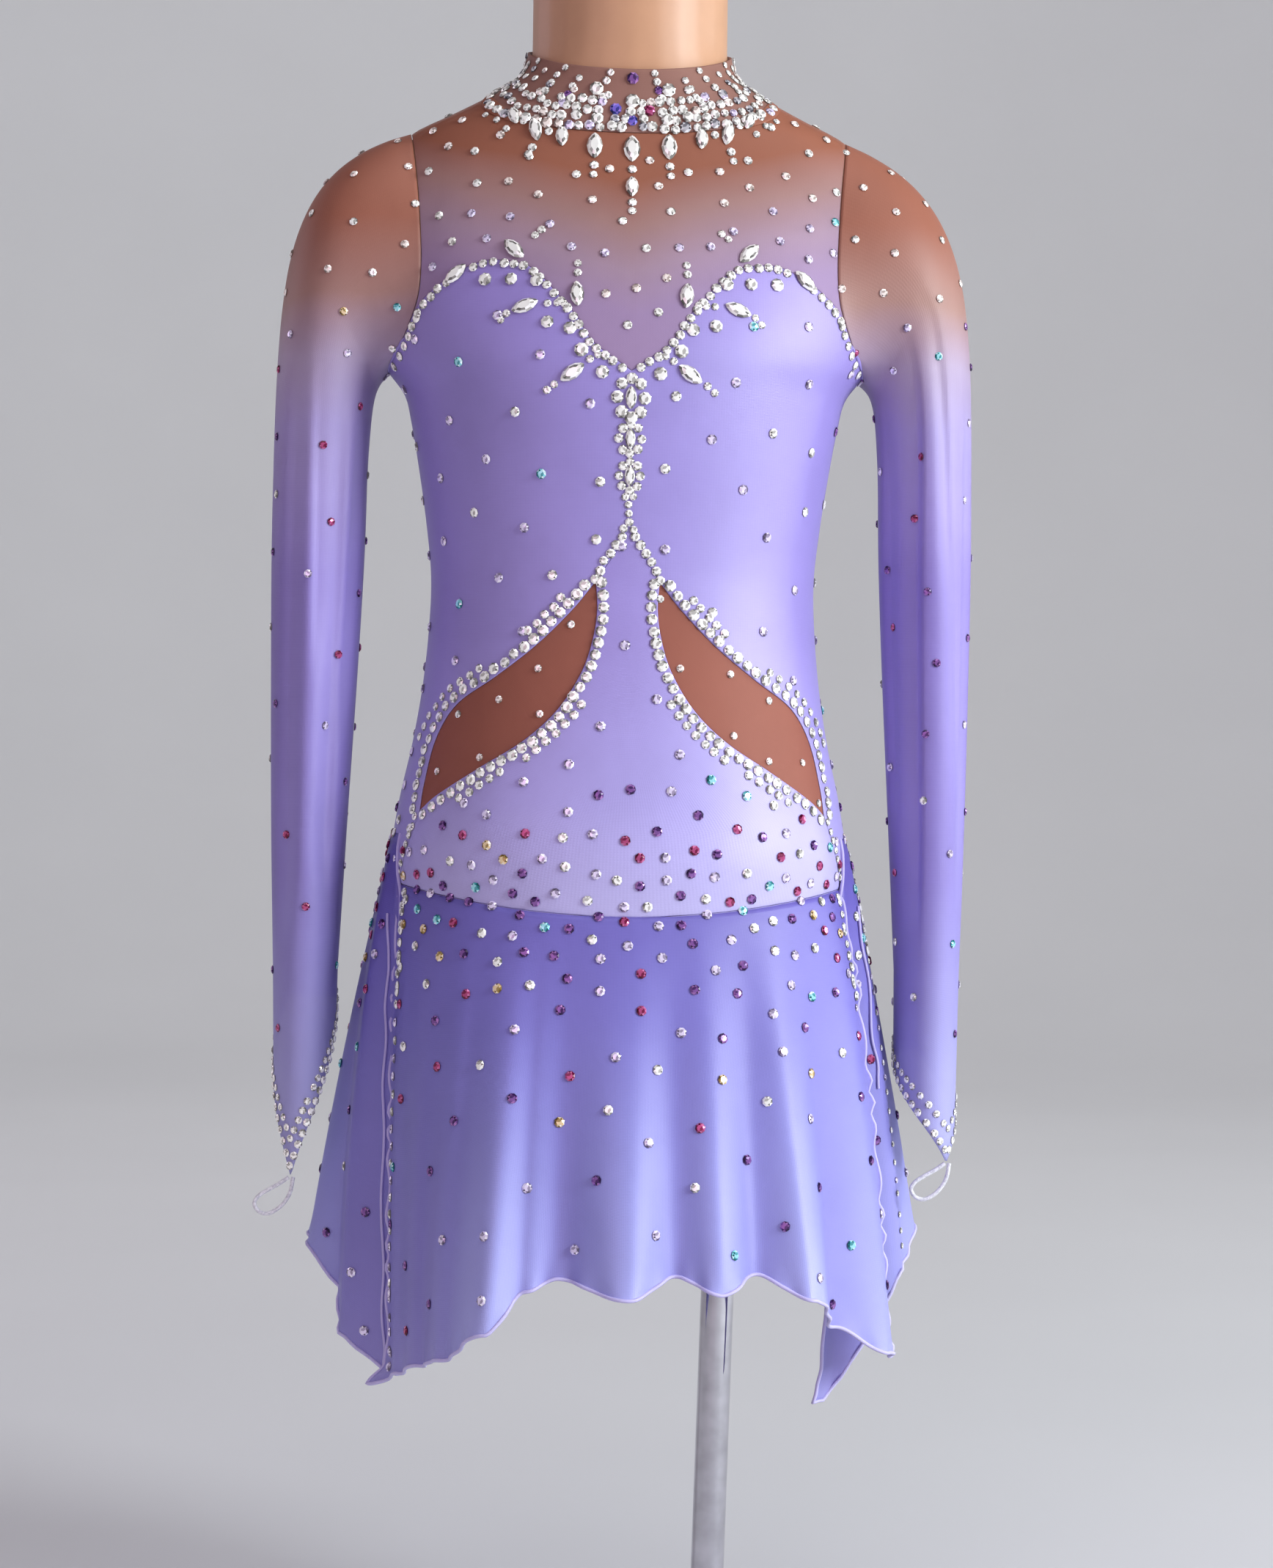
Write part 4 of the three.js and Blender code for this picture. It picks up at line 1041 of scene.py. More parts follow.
def scatter(tray, points, normals, spacing, size, colours, seed, keep):
    """Strews stones over a sheet's points; spacing and colours are functions of a point."""
    chance = random.Random(seed)
    flat = points.reshape(-1, 3)
    facing = normals.reshape(-1, 3)
    order = list(range(len(flat)))
    chance.shuffle(order)
    taken = []
    for k in order:
        point = flat[k]
        gap = spacing(point)
        if gap <= 0 or (keep is not None and not keep(point)):
            continue
        if taken and np.min(np.linalg.norm(np.array(taken) - point, axis=1)) < gap:
            continue
        taken.append(point)
        names, weights = colours(point)
        tray.add_round(point, facing[k], size, chance.choices(names, weights)[0])


# Tints and their weights, and spacings, by the point's height.


def warm_mix(_):
    return ("pearl", "clear", "gold"), (7, 3, 0.3)


def yoke_mix(point):
    if point[2] > 785:
        return warm_mix(point)
    return ("lilac", "clear", "aqua", "pearl"), (6, 3, 1, 1)


def hip_mix(point):
    names = ("lilac", "clear", "purple", "wine", "aqua", "gold")
    if point[2] > 480:
        return names, (6, 3, 0.6, 0.1, 0.8, 0)
    if point[2] > 280:
        return names, (3.2, 1.6, 3.4, 2.0, 0.6, 0.5)
    return names, (5, 1.2, 2.4, 0.8, 1.2, 0.2)


def sleeve_mix(point):
    return warm_mix(point) if point[2] > 740 else hip_mix((0, 0, 400))


def body_gap(point):
    return float(np.interp(point[2], (428, 455, 480, 500), (10.5, 12.5, 18, 29)))


def back_gap(point):
    """The body's spacing above the skirt, and none of the stones under it."""
    return 0 if point[2] < SKIRT_TOP_Z + 4 else body_gap(point)


def skirt_gap(point):
    return float(np.interp(point[2], (280, 330, 375, 400), (31, 24, 16, 10.5)))


# The strewn stones: what the sheet's name starts with, the rows and columns inside its edges,
# spacing, width (None for the setting's), tints, and whether they keep clear of the trims.
STREWN = (
    ("bodice_front", np.s_[3:-3, 3:-3], body_gap, None, hip_mix, True),
    ("front_panel", np.s_[3:-3, 3:-3], body_gap, None, hip_mix, True),
    ("bodice_back", np.s_[3:-3, 3:-3], back_gap, None, hip_mix, False),
    ("inset", np.s_[4:-4, 5:-5], lambda point: 23, 4.2, warm_mix, False),
    ("yoke", np.s_[4:-4, 4:-4], lambda point: 16, 5.0, yoke_mix, True),
    ("sleeve", np.s_[14:, :], lambda point: 22 if point[2] > 700 else 30, 4.6, sleeve_mix, False),
    ("skirt", np.s_[6:, 8:-8], skirt_gap, None, hip_mix, False),
)

# ---- Settings ------------------------------------------------------------------------------


class DressSettings(bpy.types.PropertyGroup):
    """Sizes of the cloth and its stones."""

    cloth_thickness: FloatProperty(
        name="Cloth thickness", description="Thickness of the stretch cloth", default=0.8 * MM,
        unit="LENGTH",
    )
    hem_radius: FloatProperty(
        name="Hem radius", description="Radius of the rolled hem", default=1.0 * MM,
        unit="LENGTH",
    )
    trim_stone: FloatProperty(
        name="Trim stone", description="Width of the stones along the edges", default=5.2 * MM,
        unit="LENGTH",
    )
    strewn_stone: FloatProperty(
        name="Strewn stone", description="Width of the stones strewn over the cloth",
        default=5.5 * MM, unit="LENGTH",
    )
    skirt_columns: IntProperty(
        name="Skirt columns", description="Columns of faces across a skirt panel", default=220
    )


class StageSettings(bpy.types.PropertyGroup):
    """The camera and the lights."""

    distance: FloatProperty(
        name="Camera distance", description="From the figure's axis", default=1.7, unit="LENGTH"
    )
    height: FloatProperty(
        name="Camera height", description="Above the floor", default=0.48, unit="LENGTH"
    )
    azimuth: FloatProperty(
        name="Camera azimuth", description="Turn round the dress", subtype="ANGLE",
        default=math.radians(-2.4),
    )
    roll: FloatProperty(
        name="Camera roll", description="Turn about its axis", subtype="ANGLE",
        default=math.radians(0.8),
    )
    shift: FloatProperty(
        name="Camera shift", description="To the wearer's left", default=0.0092, unit="LENGTH"
    )
    lens: FloatProperty(name="Lens", description="Focal length in millimetres", default=71.66)
    key_colour: FloatVectorProperty(
        name="Key light colour", description="Colour of the main light", subtype="COLOR",
        default=(0.91, 0.97, 1.0), size=3,
    )


def settings():
    return bpy.context.scene.dress_settings


def cloth_mm():
    return settings().cloth_thickness / MM


# ---- Operators: the stand ------------------------------------------------------------------


class DRESS_OT_stand(bpy.types.Operator):
    """Build the base plate, the socket, the pole and the dress form."""

    bl_idname = "dress.stand"
    bl_label = "Stand and dress form"

    def execute(self, context):
        base = turned(
            "base_plate_round",
            [(138.5, 0), (139.6, 0.5), (140, 1.6), (140, 5), (139.2, 6.8), (137, 8), (60, 8)],
            FINISHES["steel"], 128,
        )
        placed(base, "base_steel", "base_plate")
        lean = math.radians(POLE["lean"])
        socket_x = POLE["foot_x"] + math.sin(lean) * SOCKET_MIDDLE
        socket = turned(
            "pole_socket_turned",
            [(9.9, 8.3), (21.2, 8.3), (22, 9), (22, 12.6), (21, 13.6), (17.5, 15.4), (15.4, 18),
             (14.2, 22), (14, 27.4), (13.2, 28.3), (9.9, 28.3), (9.9, 8.3)],
            FINISHES["chrome"], 64, capped=False,
        )
        socket.data.transform(Matrix.Translation((socket_x * MM, 0, 0)))
        placed(socket, "chrome", "pole_socket")
        low, top, radius = POLE["low"], POLE["top"], POLE["radius"]
        end, cut = radius - POLE_CHAMFER, POLE_CHAMFER
        pole = turned(
            "pole_tube", [(end, low), (radius, low + cut), (radius, top - cut), (end, top)],
            FINISHES["chrome"], 64,
        )
        pole.data.transform(
            Matrix.Translation((POLE["foot_x"] * MM, 0, 0)) @ Matrix.Rotation(lean, 4, "Y")
        )
        placed(pole, "chrome", "pole")
        form = frame_copy("dress_form", "form_body")
        form.data.remesh_voxel_size = 3.2 * MM
        bpy.ops.object.voxel_remesh()
        apply_modifier(form, "SMOOTH", factor=0.5, iterations=8)
        form.data.shade_smooth()
        set_material(form, FINISHES["skin"])
        placed(form, "form_skin", "dress_form")
        return {"FINISHED"}


# ---- Operators: the cloth ------------------------------------------------------------------

SHEETS = {}  # outer points and normals of each finished sheet, for the stones


def keep_sheet(name, points, closed=False):
    SHEETS[name] = (points, grid_normals(points, closed))


ARMHOLE_LINE = smooth_line(ARMHOLE, 90)


def armhole_x(z):
    """How far out the armhole lies at a height."""
    return Curve(ARMHOLE_LINE[:, 1], ARMHOLE_LINE[:, 0])(z)


def armhole_seam(low, back=False):
    """The armhole from a height up to the shoulder line, as (angle, level) points."""
    inside = ARMHOLE_LINE[:, 0] < HALF(ARMHOLE_LINE[:, 1])
    rows = ARMHOLE_LINE[inside & (ARMHOLE_LINE[:, 1] > low + 0.5)]
    line = seam_line(np.vstack([[(armhole_x(low), low)], rows]), back)
    return np.vstack([line, [[math.pi / 2, line[-1, 1] + 0.6]]])


def armhole_below(high, back):
    """The side edge from the side seam up along the armhole to a height."""
    inside = ARMHOLE_LINE[:, 0] < HALF(ARMHOLE_LINE[:, 1])
    rows = ARMHOLE_LINE[inside & (ARMHOLE_LINE[:, 1] < high - 0.5)]
    line = seam_line(np.vstack([rows, [(armhole_x(high), high)]]), back)
    return np.vstack([[[math.pi / 2, line[0, 1] - 0.8]], line])


def side_seam(high, back=False):
    """The edge from the low seam at the side up to a height on the armhole."""
    start = [[math.pi / 2, turning(LOW_SEAM, math.pi / 2)]]
    return np.vstack([start, armhole_below(high, back)])


def level_line(seam, start, end, count):
    """A seam as (angle, level) points between two angles."""
    angles = np.linspace(start, end, count)
    return np.stack([angles, turning(seam, angles)], axis=1)


def mirror_angles(line):
    """A line of (angle, level) points on the other side, running the other way."""
    return np.asarray(line)[::-1] * (-1, 1)


class DRESS_OT_collar_yoke(bpy.types.Operator):
    """Sew the collar and the sheer yoke."""

    bl_idname = "dress.collar_yoke"
    bl_label = "Collar and yoke"

    def execute(self, context):
        self.collar()
        self.front_yoke()
        for side, name in SIDES:
            points = self.back_yoke(side)
            keep_sheet(f"yoke_back_{name}", points)
            back = cloth(f"yoke_back_{name}_mesh", points, FINISHES["yoke"], cloth_mm())
            placed(back, "yoke_mesh", f"yoke_back_{name}")
        return {"FINISHED"}

    def collar(self):
        angles = np.linspace(-COLLAR_END, COLLAR_END, 181)
        shares = graded(14)[:, None]
        base = turning(COLLAR_BASE, angles) + 0.3
        top = turning(COLLAR_TOP, angles)
        out = 0.25 * np.sin(math.pi * shares) + 0 * base
        points = on_figure(angles[None] + 0 * shares, mix(base, top, shares), out)
        keep_sheet("collar", points)
        collar = cloth("collar_band", points, FINISHES["collar"], cloth_mm() + 0.2)
        placed(collar, "nude_mesh", "collar")

    def front_yoke(self):
        heart = seam_line(smooth_line(SWEETHEART))
        right_side = armhole_seam(SWEETHEART[-1][1])
        shoulder_z = right_side[-1, 1]
        neck = level_line(COLLAR_BASE, -math.pi / 2, math.pi / 2, 80)
        top = np.vstack([[[-math.pi / 2, shoulder_z]], neck, [[math.pi / 2, shoulder_z]]])
        bottom = np.vstack([mirror_angles(heart), heart[1:]])
        points = sewn(patch(bottom, top, right_side * (-1, 1), right_side, 120, 56))
        keep_sheet("yoke_front", points)
        yoke = cloth("yoke_front_mesh", points, FINISHES["yoke"], cloth_mm())
        placed(yoke, "yoke_mesh", "yoke_front")

    def back_yoke(self, side):
        armhole, line = back_lines()
        neck = level_line(COLLAR_BASE, math.pi / 2, CENTRE_BACK, 50)
        top = np.vstack([[[math.pi / 2, armhole[-1, 1]]], neck])
        centre = np.array([[CENTRE_BACK, line[-1, 1]], [CENTRE_BACK, neck[-1, 1]]])
        return sided(sewn(patch(line, top, armhole, centre, 60, 50)), side)


def back_lines():
    """The armhole above the back's yoke line, and that line from the armhole to the centre."""
    centre, side = BACK_YOKE
    x = np.linspace(0, 118, 40)
    z = mix(centre, side, smooth(x / 118))
    reach = x < armhole_x(z) - 0.5
    end_z = float(z[reach][-1])
    end = (armhole_x(end_z), end_z)
    table = np.vstack([np.stack([x[reach], z[reach]], axis=1)[:-1], [end]])
    line = seam_line(table, back=True)[::-1]
    line[-1, 0] = CENTRE_BACK
    return armhole_seam(end_z, back=True), line


def sided(points, side):
    """Points of the wearer's left, or their mirror with its columns turned round."""
    if side > 0:
        return points
    return points[:, ::-1] * (-1, 1, 1)


class DRESS_OT_bodice(bpy.types.Operator):
    """Sew the bodice, the lower front panel, the leaf insets and the brief."""

    bl_idname = "dress.bodice"
    bl_label = "Bodice, panel and insets"

    def execute(self, context):
        upper, lower = smooth_line(LEAF_UPPER, 50), smooth_line(LEAF_LOWER, 50)
        side = smooth_line(PANEL_SIDE, 16)
        peak = smooth_line(PANEL_PEAK, 12)
        low_end = float(angle_of(*side[-1]))
        inner_edge = np.vstack([[(0, SWEETHEART[0][1])], peak, upper[1:], side[1:]])
        self.bodice_front(self.rising(inner_edge, low_end), low_end)
        panel_edge = np.vstack([peak, lower[1:], side[1:]])
        self.front_panel(self.rising(panel_edge, low_end), low_end)
        for sign, name in SIDES:
            self.inset(upper, lower, sign, name)
            self.bodice_back(sign, name)
        self.brief()
        return {"FINISHED"}

    def rising(self, edge, low_end):
        """A front edge as (angle, level) points from the low seam upwards."""
        line = seam_line(edge)[::-1]
        line[0] = (low_end, turning(LOW_SEAM, low_end))
        return line

    def bodice_front(self, inner, low_end):
        """The two halves as one piece, whole down the centre front."""
        heart = seam_line(smooth_line(SWEETHEART))
        outer = side_seam(SWEETHEART[-1][1])
        bottom = level_line(LOW_SEAM, low_end, math.pi / 2, 12)
        left = sewn(patch(bottom, heart, inner, outer, 56, 130))
        right = sided(left, -1)
        keep_sheet("bodice_front_left", left)
        keep_sheet("bodice_front_right", right)
        left, right = left.copy(), right.copy()
        joined = np.abs(left[:, 0, 0]) < CENTRE_REACH
        left[joined, 0, 0] = 0
        right[joined, -1] = left[joined, 0]
        mesh = bpy.data.meshes.new("bodice_front_satin")
        points = np.vstack([right.reshape(-1, 3), left.reshape(-1, 3)]) * MM
        half = np.array(grid_faces(*left.shape[:2]))
        faces = np.vstack([half, half + left[..., 0].size])
        mesh.from_pydata(points.tolist(), [], faces.tolist())
        uv = mesh.uv_layers.new(name="cloth")
        uv.data.foreach_set("uv", (points[faces.reshape(-1)][:, (0, 2)] * 100).reshape(-1))
        bodice = walled(mesh, FINISHES["satin"], cloth_mm(), merge=0.02)
        placed(bodice, "satin", "bodice_front")

    def front_panel(self, right, low_end):
        low = level_line(LOW_SEAM, -low_end, low_end, 80)
        top = np.array([[-0.0005, PANEL_PEAK[0][1]], [0.0005, PANEL_PEAK[0][1]]])
        points = sewn(patch(low, top, right * (-1, 1), right, 96, 84), sink=0.3)
        keep_sheet("front_panel", points)
        panel = cloth("front_panel_satin", points, FINISHES["panel"], cloth_mm())
        placed(panel, "satin", "front_panel")

    def inset(self, upper, lower, sign, name):
        tips = seam_line([LEAF_UPPER[0], LEAF_UPPER[-1]])
        start, end = (np.vstack([tip, tip + (0.0004, 0)]) for tip in tips[:, None])
        grid = patch(end, start, seam_line(lower)[::-1], seam_line(upper)[::-1], 34, 60)
        points = sided(sewn(grid, -0.5, 0.1), sign)
        keep_sheet(f"inset_{name}", points)
        leaf = cloth(f"leaf_inset_{name}", points, FINISHES["nude"], 0.5)
        placed(leaf, "nude_mesh", f"inset_{name}")

    def bodice_back(self, sign, name):
        _, top = back_lines()
        bottom = level_line(LOW_SEAM, math.pi / 2, CENTRE_BACK, 40)
        centre = np.array([bottom[-1], top[-1]])
        outer = side_seam(top[0, 1], back=True)
        points = sided(sewn(patch(bottom, top, outer, centre, 60, 90)), sign)
        keep_sheet(f"bodice_back_{name}", points)
        back = cloth(f"bodice_back_{name}_satin", points, FINISHES["satin"], cloth_mm())
        placed(back, "satin", f"bodice_back_{name}")

    def brief(self):
        cuts = {"brief_front": ((0.2, 0.075), 0.0107), "brief_back": ((0.22, 0.085), 0.0146)}
        for name, (flat, area) in cuts.items():
            half = frame_copy(name, f"{name}_satin")
            bpy.ops.object.shade_smooth_by_angle(angle=math.radians(40))
            set_material(half, FINISHES["satin"])
            placed(half, "satin", name)


class DRESS_OT_sleeves(bpy.types.Operator):
    """Sew the two sheer sleeves with their pointed cuffs and finger loops."""

    bl_idname = "dress.sleeves"
    bl_label = "Sleeves"

    def execute(self, context):
        turns = np.linspace(0, 2 * math.pi, 96, endpoint=False)
        cap = np.linspace(0, CAP_RING, 60)
        arm = np.linspace(CAP_RING, LAST_RING, 84)[1:]
        cuff = LAST_RING + np.linspace(0, 1, 24)[1:]
        rings = np.concatenate([cap, arm, cuff])[::-1]
        for side, name in SIDES:
            order = -turns if side > 0 else turns
            points = sleeve_points(side, rings[:, None], order[None, :])
            keep_sheet(f"sleeve_{name}", points, closed=True)
            sleeve = cloth(
                f"sleeve_{name}_mesh", points, FINISHES["sleeve"], 0.6, closed=True,
                fold_shade=self.fold_shade(side, order[None, :], points[..., 2]),
            )
            placed(sleeve, "sleeve_mesh", f"sleeve_{name}")
            self.loop(side, name)
        return {"FINISHED"}

    def fold_shade(self, side, turn, z):
        """Painted fold shade: half is flat, less is shade in a hollow, more a ridge's highlight.
        """
        raised = np.clip((fold_depth(side, turn, z) - 1.1) / 2.6, -1, 1)
        return 0.5 + 0.5 * raised * smooth((742 - z) / 70)

    def loop(self, side, name):
        """Sew the loop under the cuff's point."""
        tip = np.radians(CUFF_EDGE[side][2])
        start = sleeve_points(side, LAST_RING + 1.0, tip) - (0, 0, LOOP_RADIUS + 0.3)
        path = [start + (x, 0, z) for x, z in smooth_line(LOOP_ROUTE)]
        loop = tube(f"finger_loop_{name}_elastic", path, LOOP_RADIUS, FINISHES["elastic"], 3)
        placed(loop, "elastic", f"finger_loop_{name}")


class DRESS_OT_skirt(bpy.types.Operator):
    """Sew the two skirt panels with their rolled, rippled edges."""

    bl_idname = "dress.skirt"
    bl_label = "Skirt"

    def execute(self, context):
        front = self.panel(SKIRT_FRONT, lambda a: turning(LOW_SEAM, a) - 0.3, 0.0, (0.9, 1.2))
        self.sway(front, 0, 0.7, 9.0)
        self.sway(front, -1, 2.0, 7.4)
        self.curl(front, (0, 0), (-11, -2, 1), 17)
        self.curl(front, (0, -1), (3, -3, 3), 14)
        self.sew("skirt_front", SKIRT_FRONT, front, (0.467, 0.266), 0.0737)
        back = self.panel(SKIRT_BACK, lambda a: SKIRT_TOP_Z + 0 * a, 3.6, (0.3, 0.3))
        self.curl(back, (0, 0), (-3, -2, -2), 16)
        self.underlap_lines(back)
        self.sew("skirt_back", SKIRT_BACK, back, (0.756, 0.314), 0.1185)
        return {"FINISHED"}

    def sew(self, name, rows, points, flat, area):
        """Make a panel and its rolled hem; the panel's cut, flat and area, is not used."""
        keep_sheet(name, points)
        panel = cloth(
            f"{name}_cloth", points, FINISHES["skirt"], cloth_mm(),
            fold_shade=self.fold_shade(rows, points.shape[1]),
        )
        placed(panel, "skirt_cloth", name)
        edge = np.vstack([points[::-1, 0], points[0, 1:-1], points[:, -1]])
        hem = tube(f"{name}_rolled_hem", edge, settings().hem_radius / MM, FINISHES["hem"], 1)
        placed(hem, "skirt_cloth")

    def shares(self):
        """Each row's share of the panel's drop, from the hem up."""
        return 1 - np.linspace(0, 1, SKIRT_ROWS + 1)[:, None] ** SKIRT_ROW_EASE

    def panel(self, rows, top_of, tuck, ripples):
        """A panel's points; its edges are tucked behind the next panel by an angle."""
        shares = self.shares()
        hidden = tuck * smooth(shares * 4)
        low, high = rows[0][0] + 0.3 - hidden, rows[-1][0] - 0.3 + hidden
        degrees = mix(low, high, np.linspace(0, 1, settings().skirt_columns + 1)[None, :])
        top = top_of(np.radians(degrees))
        points = skirt_points(rows, degrees, shares + 0 * degrees, top)
        beyond = np.maximum(rows[0][0] - degrees, degrees - rows[-1][0])
        depth = self.ripple(points, ripples) - UNDERLAP_SINK * smooth(beyond / 1.5)
        return points + grid_normals(points) * depth[..., None]

    def fold_shade(self, rows, columns):
        """Painted fold shade: half is flat, less is shade in a hollow, more a ridge's highlight.
        """
        degrees = np.linspace(rows[0][0], rows[-1][0], columns)[None, :]
        share = self.shares()
        raised = np.clip((fold_at(rows, 1, degrees) - SKIRT_MEAN_OUT) / 16, -1, 1)
        return 0.5 + 0.5 * raised * smooth(share * 1.5 - 0.15)

    def sway(self, points, column, size, length):
        """Slow sideways waves of a slit's edge, strongest below its top."""
        line = points[:, column]
        inner = points[:, 1 if column == 0 else -2]
        outward = unit(line - inner)
        run = run_along(line)
        drop = run[-1] - run
        strength = size * smooth(drop / 25.0) * (0.25 + 0.75 * np.exp(-(drop / 120.0) ** 2))
        wave = np.sin(drop / length + 1.4 * np.sin(drop / 23.0))
        away = np.linalg.norm(points - line[:, None], axis=2)
        shift = outward * (strength * wave)[:, None]
        points += shift[:, None] * np.exp(-away / 7.0)[..., None]

    def underlap_lines(self, points):
        """The second rolled line of each slit, on the panel that lies behind."""
        normals = grid_normals(points)
        radius = settings().hem_radius / MM * 0.8
        for name, column, first, width in (("left", 11, 45, 2.2), ("right", -6, 0, 0.9)):
            line = (points[:, column] + normals[:, column] * 0.7)[first:]
            run = run_along(line)
            beside = unit(points[:, column + 1] - points[:, column])[first:]
            wave = np.sin(run / 8.3 + 1.2 * np.sin(run / 31.0)) * smooth(run / 12)
            line = line + beside * (width * wave)[:, None]
            rolled = tube(f"slit_{name}_rolled_line", line[:-12], radius, FINISHES["hem"], 1)
            placed(rolled, "skirt_cloth")

    def curl(self, points, corner, shift, reach):
        """Bends a corner of a panel over a short reach."""
        away = np.linalg.norm(points - points[corner], axis=2) / reach
        points += np.array(shift, float) * (np.clip(1 - away, 0, 1) ** 1.6)[..., None]

    def ripple(self, points, sizes):
        """Small waves of the stretched, rolled edge along the hem and the slits."""
        hem_run = run_along(points[0])
        up = np.linalg.norm(points - points[:1], axis=2)
        wave = np.sin(hem_run / 3.1 + 1.7 * np.sin(hem_run / 14.0))
        total = 0.9 * np.exp(-up / 6.0) * wave[None, :]
        for column, size in zip((0, -1), sizes):
            side_run = run_along(points[:, column])
            away = np.linalg.norm(points - points[:, column][:, None], axis=2)
            wave = np.sin(side_run / 2.9 + 2.1 * np.sin(side_run / 11.0) + column)
            fade = smooth((side_run[-1] - side_run) / 60.0)
            total = total + size * np.exp(-away / 6.0) * (wave * fade)[:, None]
        return total


# ---- Operators: the stones -----------------------------------------------------------------


class DRESS_OT_stones(bpy.types.Operator):
    """Set the marquise stones, the stone trims and the strewn stones."""

    bl_idname = "dress.stones"
    bl_label = "Stones"

    def execute(self, context):
        self.trim = settings().trim_stone / MM
        self.strewn = settings().strewn_stone / MM
        self.marquises()
        self.collar()
        self.bust()
        self.front_lines()
        self.slits_and_cuffs()
        self.strew()
        return {"FINISHED"}

    def marquises(self):
        tray = StoneTray(3)
        rows = [(stone, side) for stone in BUST_MARQUISES + COLLAR_MARQUISES for side in (1, -1)]
        rows += [(stone, 1) for stone in CENTRE_MARQUISES]
        for (x, z, lean, long, wide), side in rows:
            point, normal = front_place(side * x, z)
            tilt = math.radians(lean if side > 0 else 180 - lean)
            tray.add_marquise(point, normal, (math.cos(tilt), 0, math.sin(tilt)), long, wide)
        nodes = [
            f"{group}_stone_{side}_{k + 1}"
            for _, side in SIDES
            for group, table in (("bust", BUST_MARQUISES), ("collar", COLLAR_MARQUISES))
            for k in range(len(table))
        ]
        nodes += [f"centre_stone_{k + 1}" for k in range(len(CENTRE_MARQUISES))]
        placed(tray.build("marquise_stones"), "crystal", *nodes)

    def on_front(self, tray, rows, size):
        for x, z in rows:
            sway = tray.random.uniform(-0.35, 0.35)
            point, normal = front_place(x + sway, z - sway)
            tray.add_round(point, normal, size * tray.random.uniform(0.92, 1.06))

    def both(self, tray, rows, size):
        self.on_front(tray, rows, size)
        self.on_front(tray, [(-x, z) for x, z in rows], size)

    def collar(self):
        """Peaks of stones that rise from a close band, with pendants below it."""
        tray = StoneTray(5)
        turns = np.radians(np.arange(-179.5, 180, 0.25))
        tall = turning(COLLAR_TOP, turns) - turning(COLLAR_BASE, turns)
        self.collar_band(tray, turns, tall)
        self.collar_peaks(tray, turns, tall)
        for x, z, size, colour in COLLAR_GEMS:
            for side in (1, -1) if colour == "clear" and x else (1,):
                point, normal = front_place(side * x, z, 0.4)
                tray.add_round(point, normal, size, colour)
        for x, z, size in PENDANT_ROUNDS:
            for side in (1, -1) if x else (1,):
                point, normal = front_place(side * x, z)
                tray.add_round(point, normal, size)
        self.back_pendants(tray)
        placed(tray.build("collar_stones"), "crystal")

    def collar_band(self, tray, turns, tall):
        """Close rows of stones from the collar's base up to just below the peaks."""
        phase = ((np.abs(np.degrees(turns)) - FIRST_PEAK) / PEAK_PITCH) % 1
        between = np.minimum(phase, 1 - phase) * 2
        reach = tall * mix(0.72, 0.5, np.minimum(1, between * 1.5))
        for row in range(6):
            height = 2.4 + row * 4.5
            level = turning(COLLAR_BASE, turns) + height
            run = run_along(on_figure(turns, level, np.full(turns.shape, 0.3)))
            at = (row % 2) * 2.6
            while at < run[-1]:
                k = int(np.searchsorted(run, at))
                size = mix(5.9, 4.8, row / 5) * tray.random.uniform(0.8, 1.1)
                at += size + tray.random.uniform(-0.3, 0.6)
                if height < reach[k]:
                    self.collar_stone(tray, turns[k], height + tray.random.uniform(-1, 1), size)

    def collar_peaks(self, tray, turns, tall):
        """Narrow columns of stones, tall and less tall in turn, on both sides."""
        for peak in range(14):
            for side in (1, -1):
                turn = math.radians(side * (FIRST_PEAK + PEAK_PITCH * peak))
                high = float(np.interp(turn, turns, tall)) * (0.93, 0.8)[peak % 2]
                for k in range(6):
                    height = high - 4.4 * k
                    if height > 0.45 * high:
                        sway = math.radians(tray.random.uniform(-0.8, 0.8))
                        self.collar_stone(tray, turn + sway, height, 3.9 + 0.35 * k)

    def back_pendants(self, tray):
        """Short drops of two and three stones round the back of the neck."""
        for degrees in (*range(98, 180, 12), 178):
            for side in (1, -1):
                angle = math.radians(side * degrees)
                base = float(turning(COLLAR_BASE, angle))
                for k, size in enumerate((5.0, 4.4, 3.6)[: 2 + (degrees // 12) % 2]):
                    z = base - 3.2 - k * 4.4
                    tray.add_round(on_figure(angle, z), figure_normal(angle, z), size)

    def collar_stone(self, tray, turn, height, size):
        point = on_figure(turn, float(turning(COLLAR_BASE, turn)) + height, 0.3)
        if point[1] < 0 and self.near_gem(point[0], point[2]):
            return
        names = ("clear", "pearl", "lilac", "smoke", "purple")
        # Dark grey stones crowd the collar's sides as painted shade; a few stand at the front.
        shaded = 4 if abs(math.degrees(turn)) > 34 else 0.8
        tint = tray.random.choices(names, (16, 3, 1.5, shaded, 0.4))[0]
        tray.add_round(point, figure_normal(turn, point[2]), size, tint)

    def near_gem(self, across, z):
        """Whether a place lies under one of the collar's larger stones."""
        return any(
            math.hypot((across if tint != "clear" else abs(across)) - x, z - height)
            < (size + 1.4) / 2
            for x, height, size, tint in COLLAR_GEMS
        )

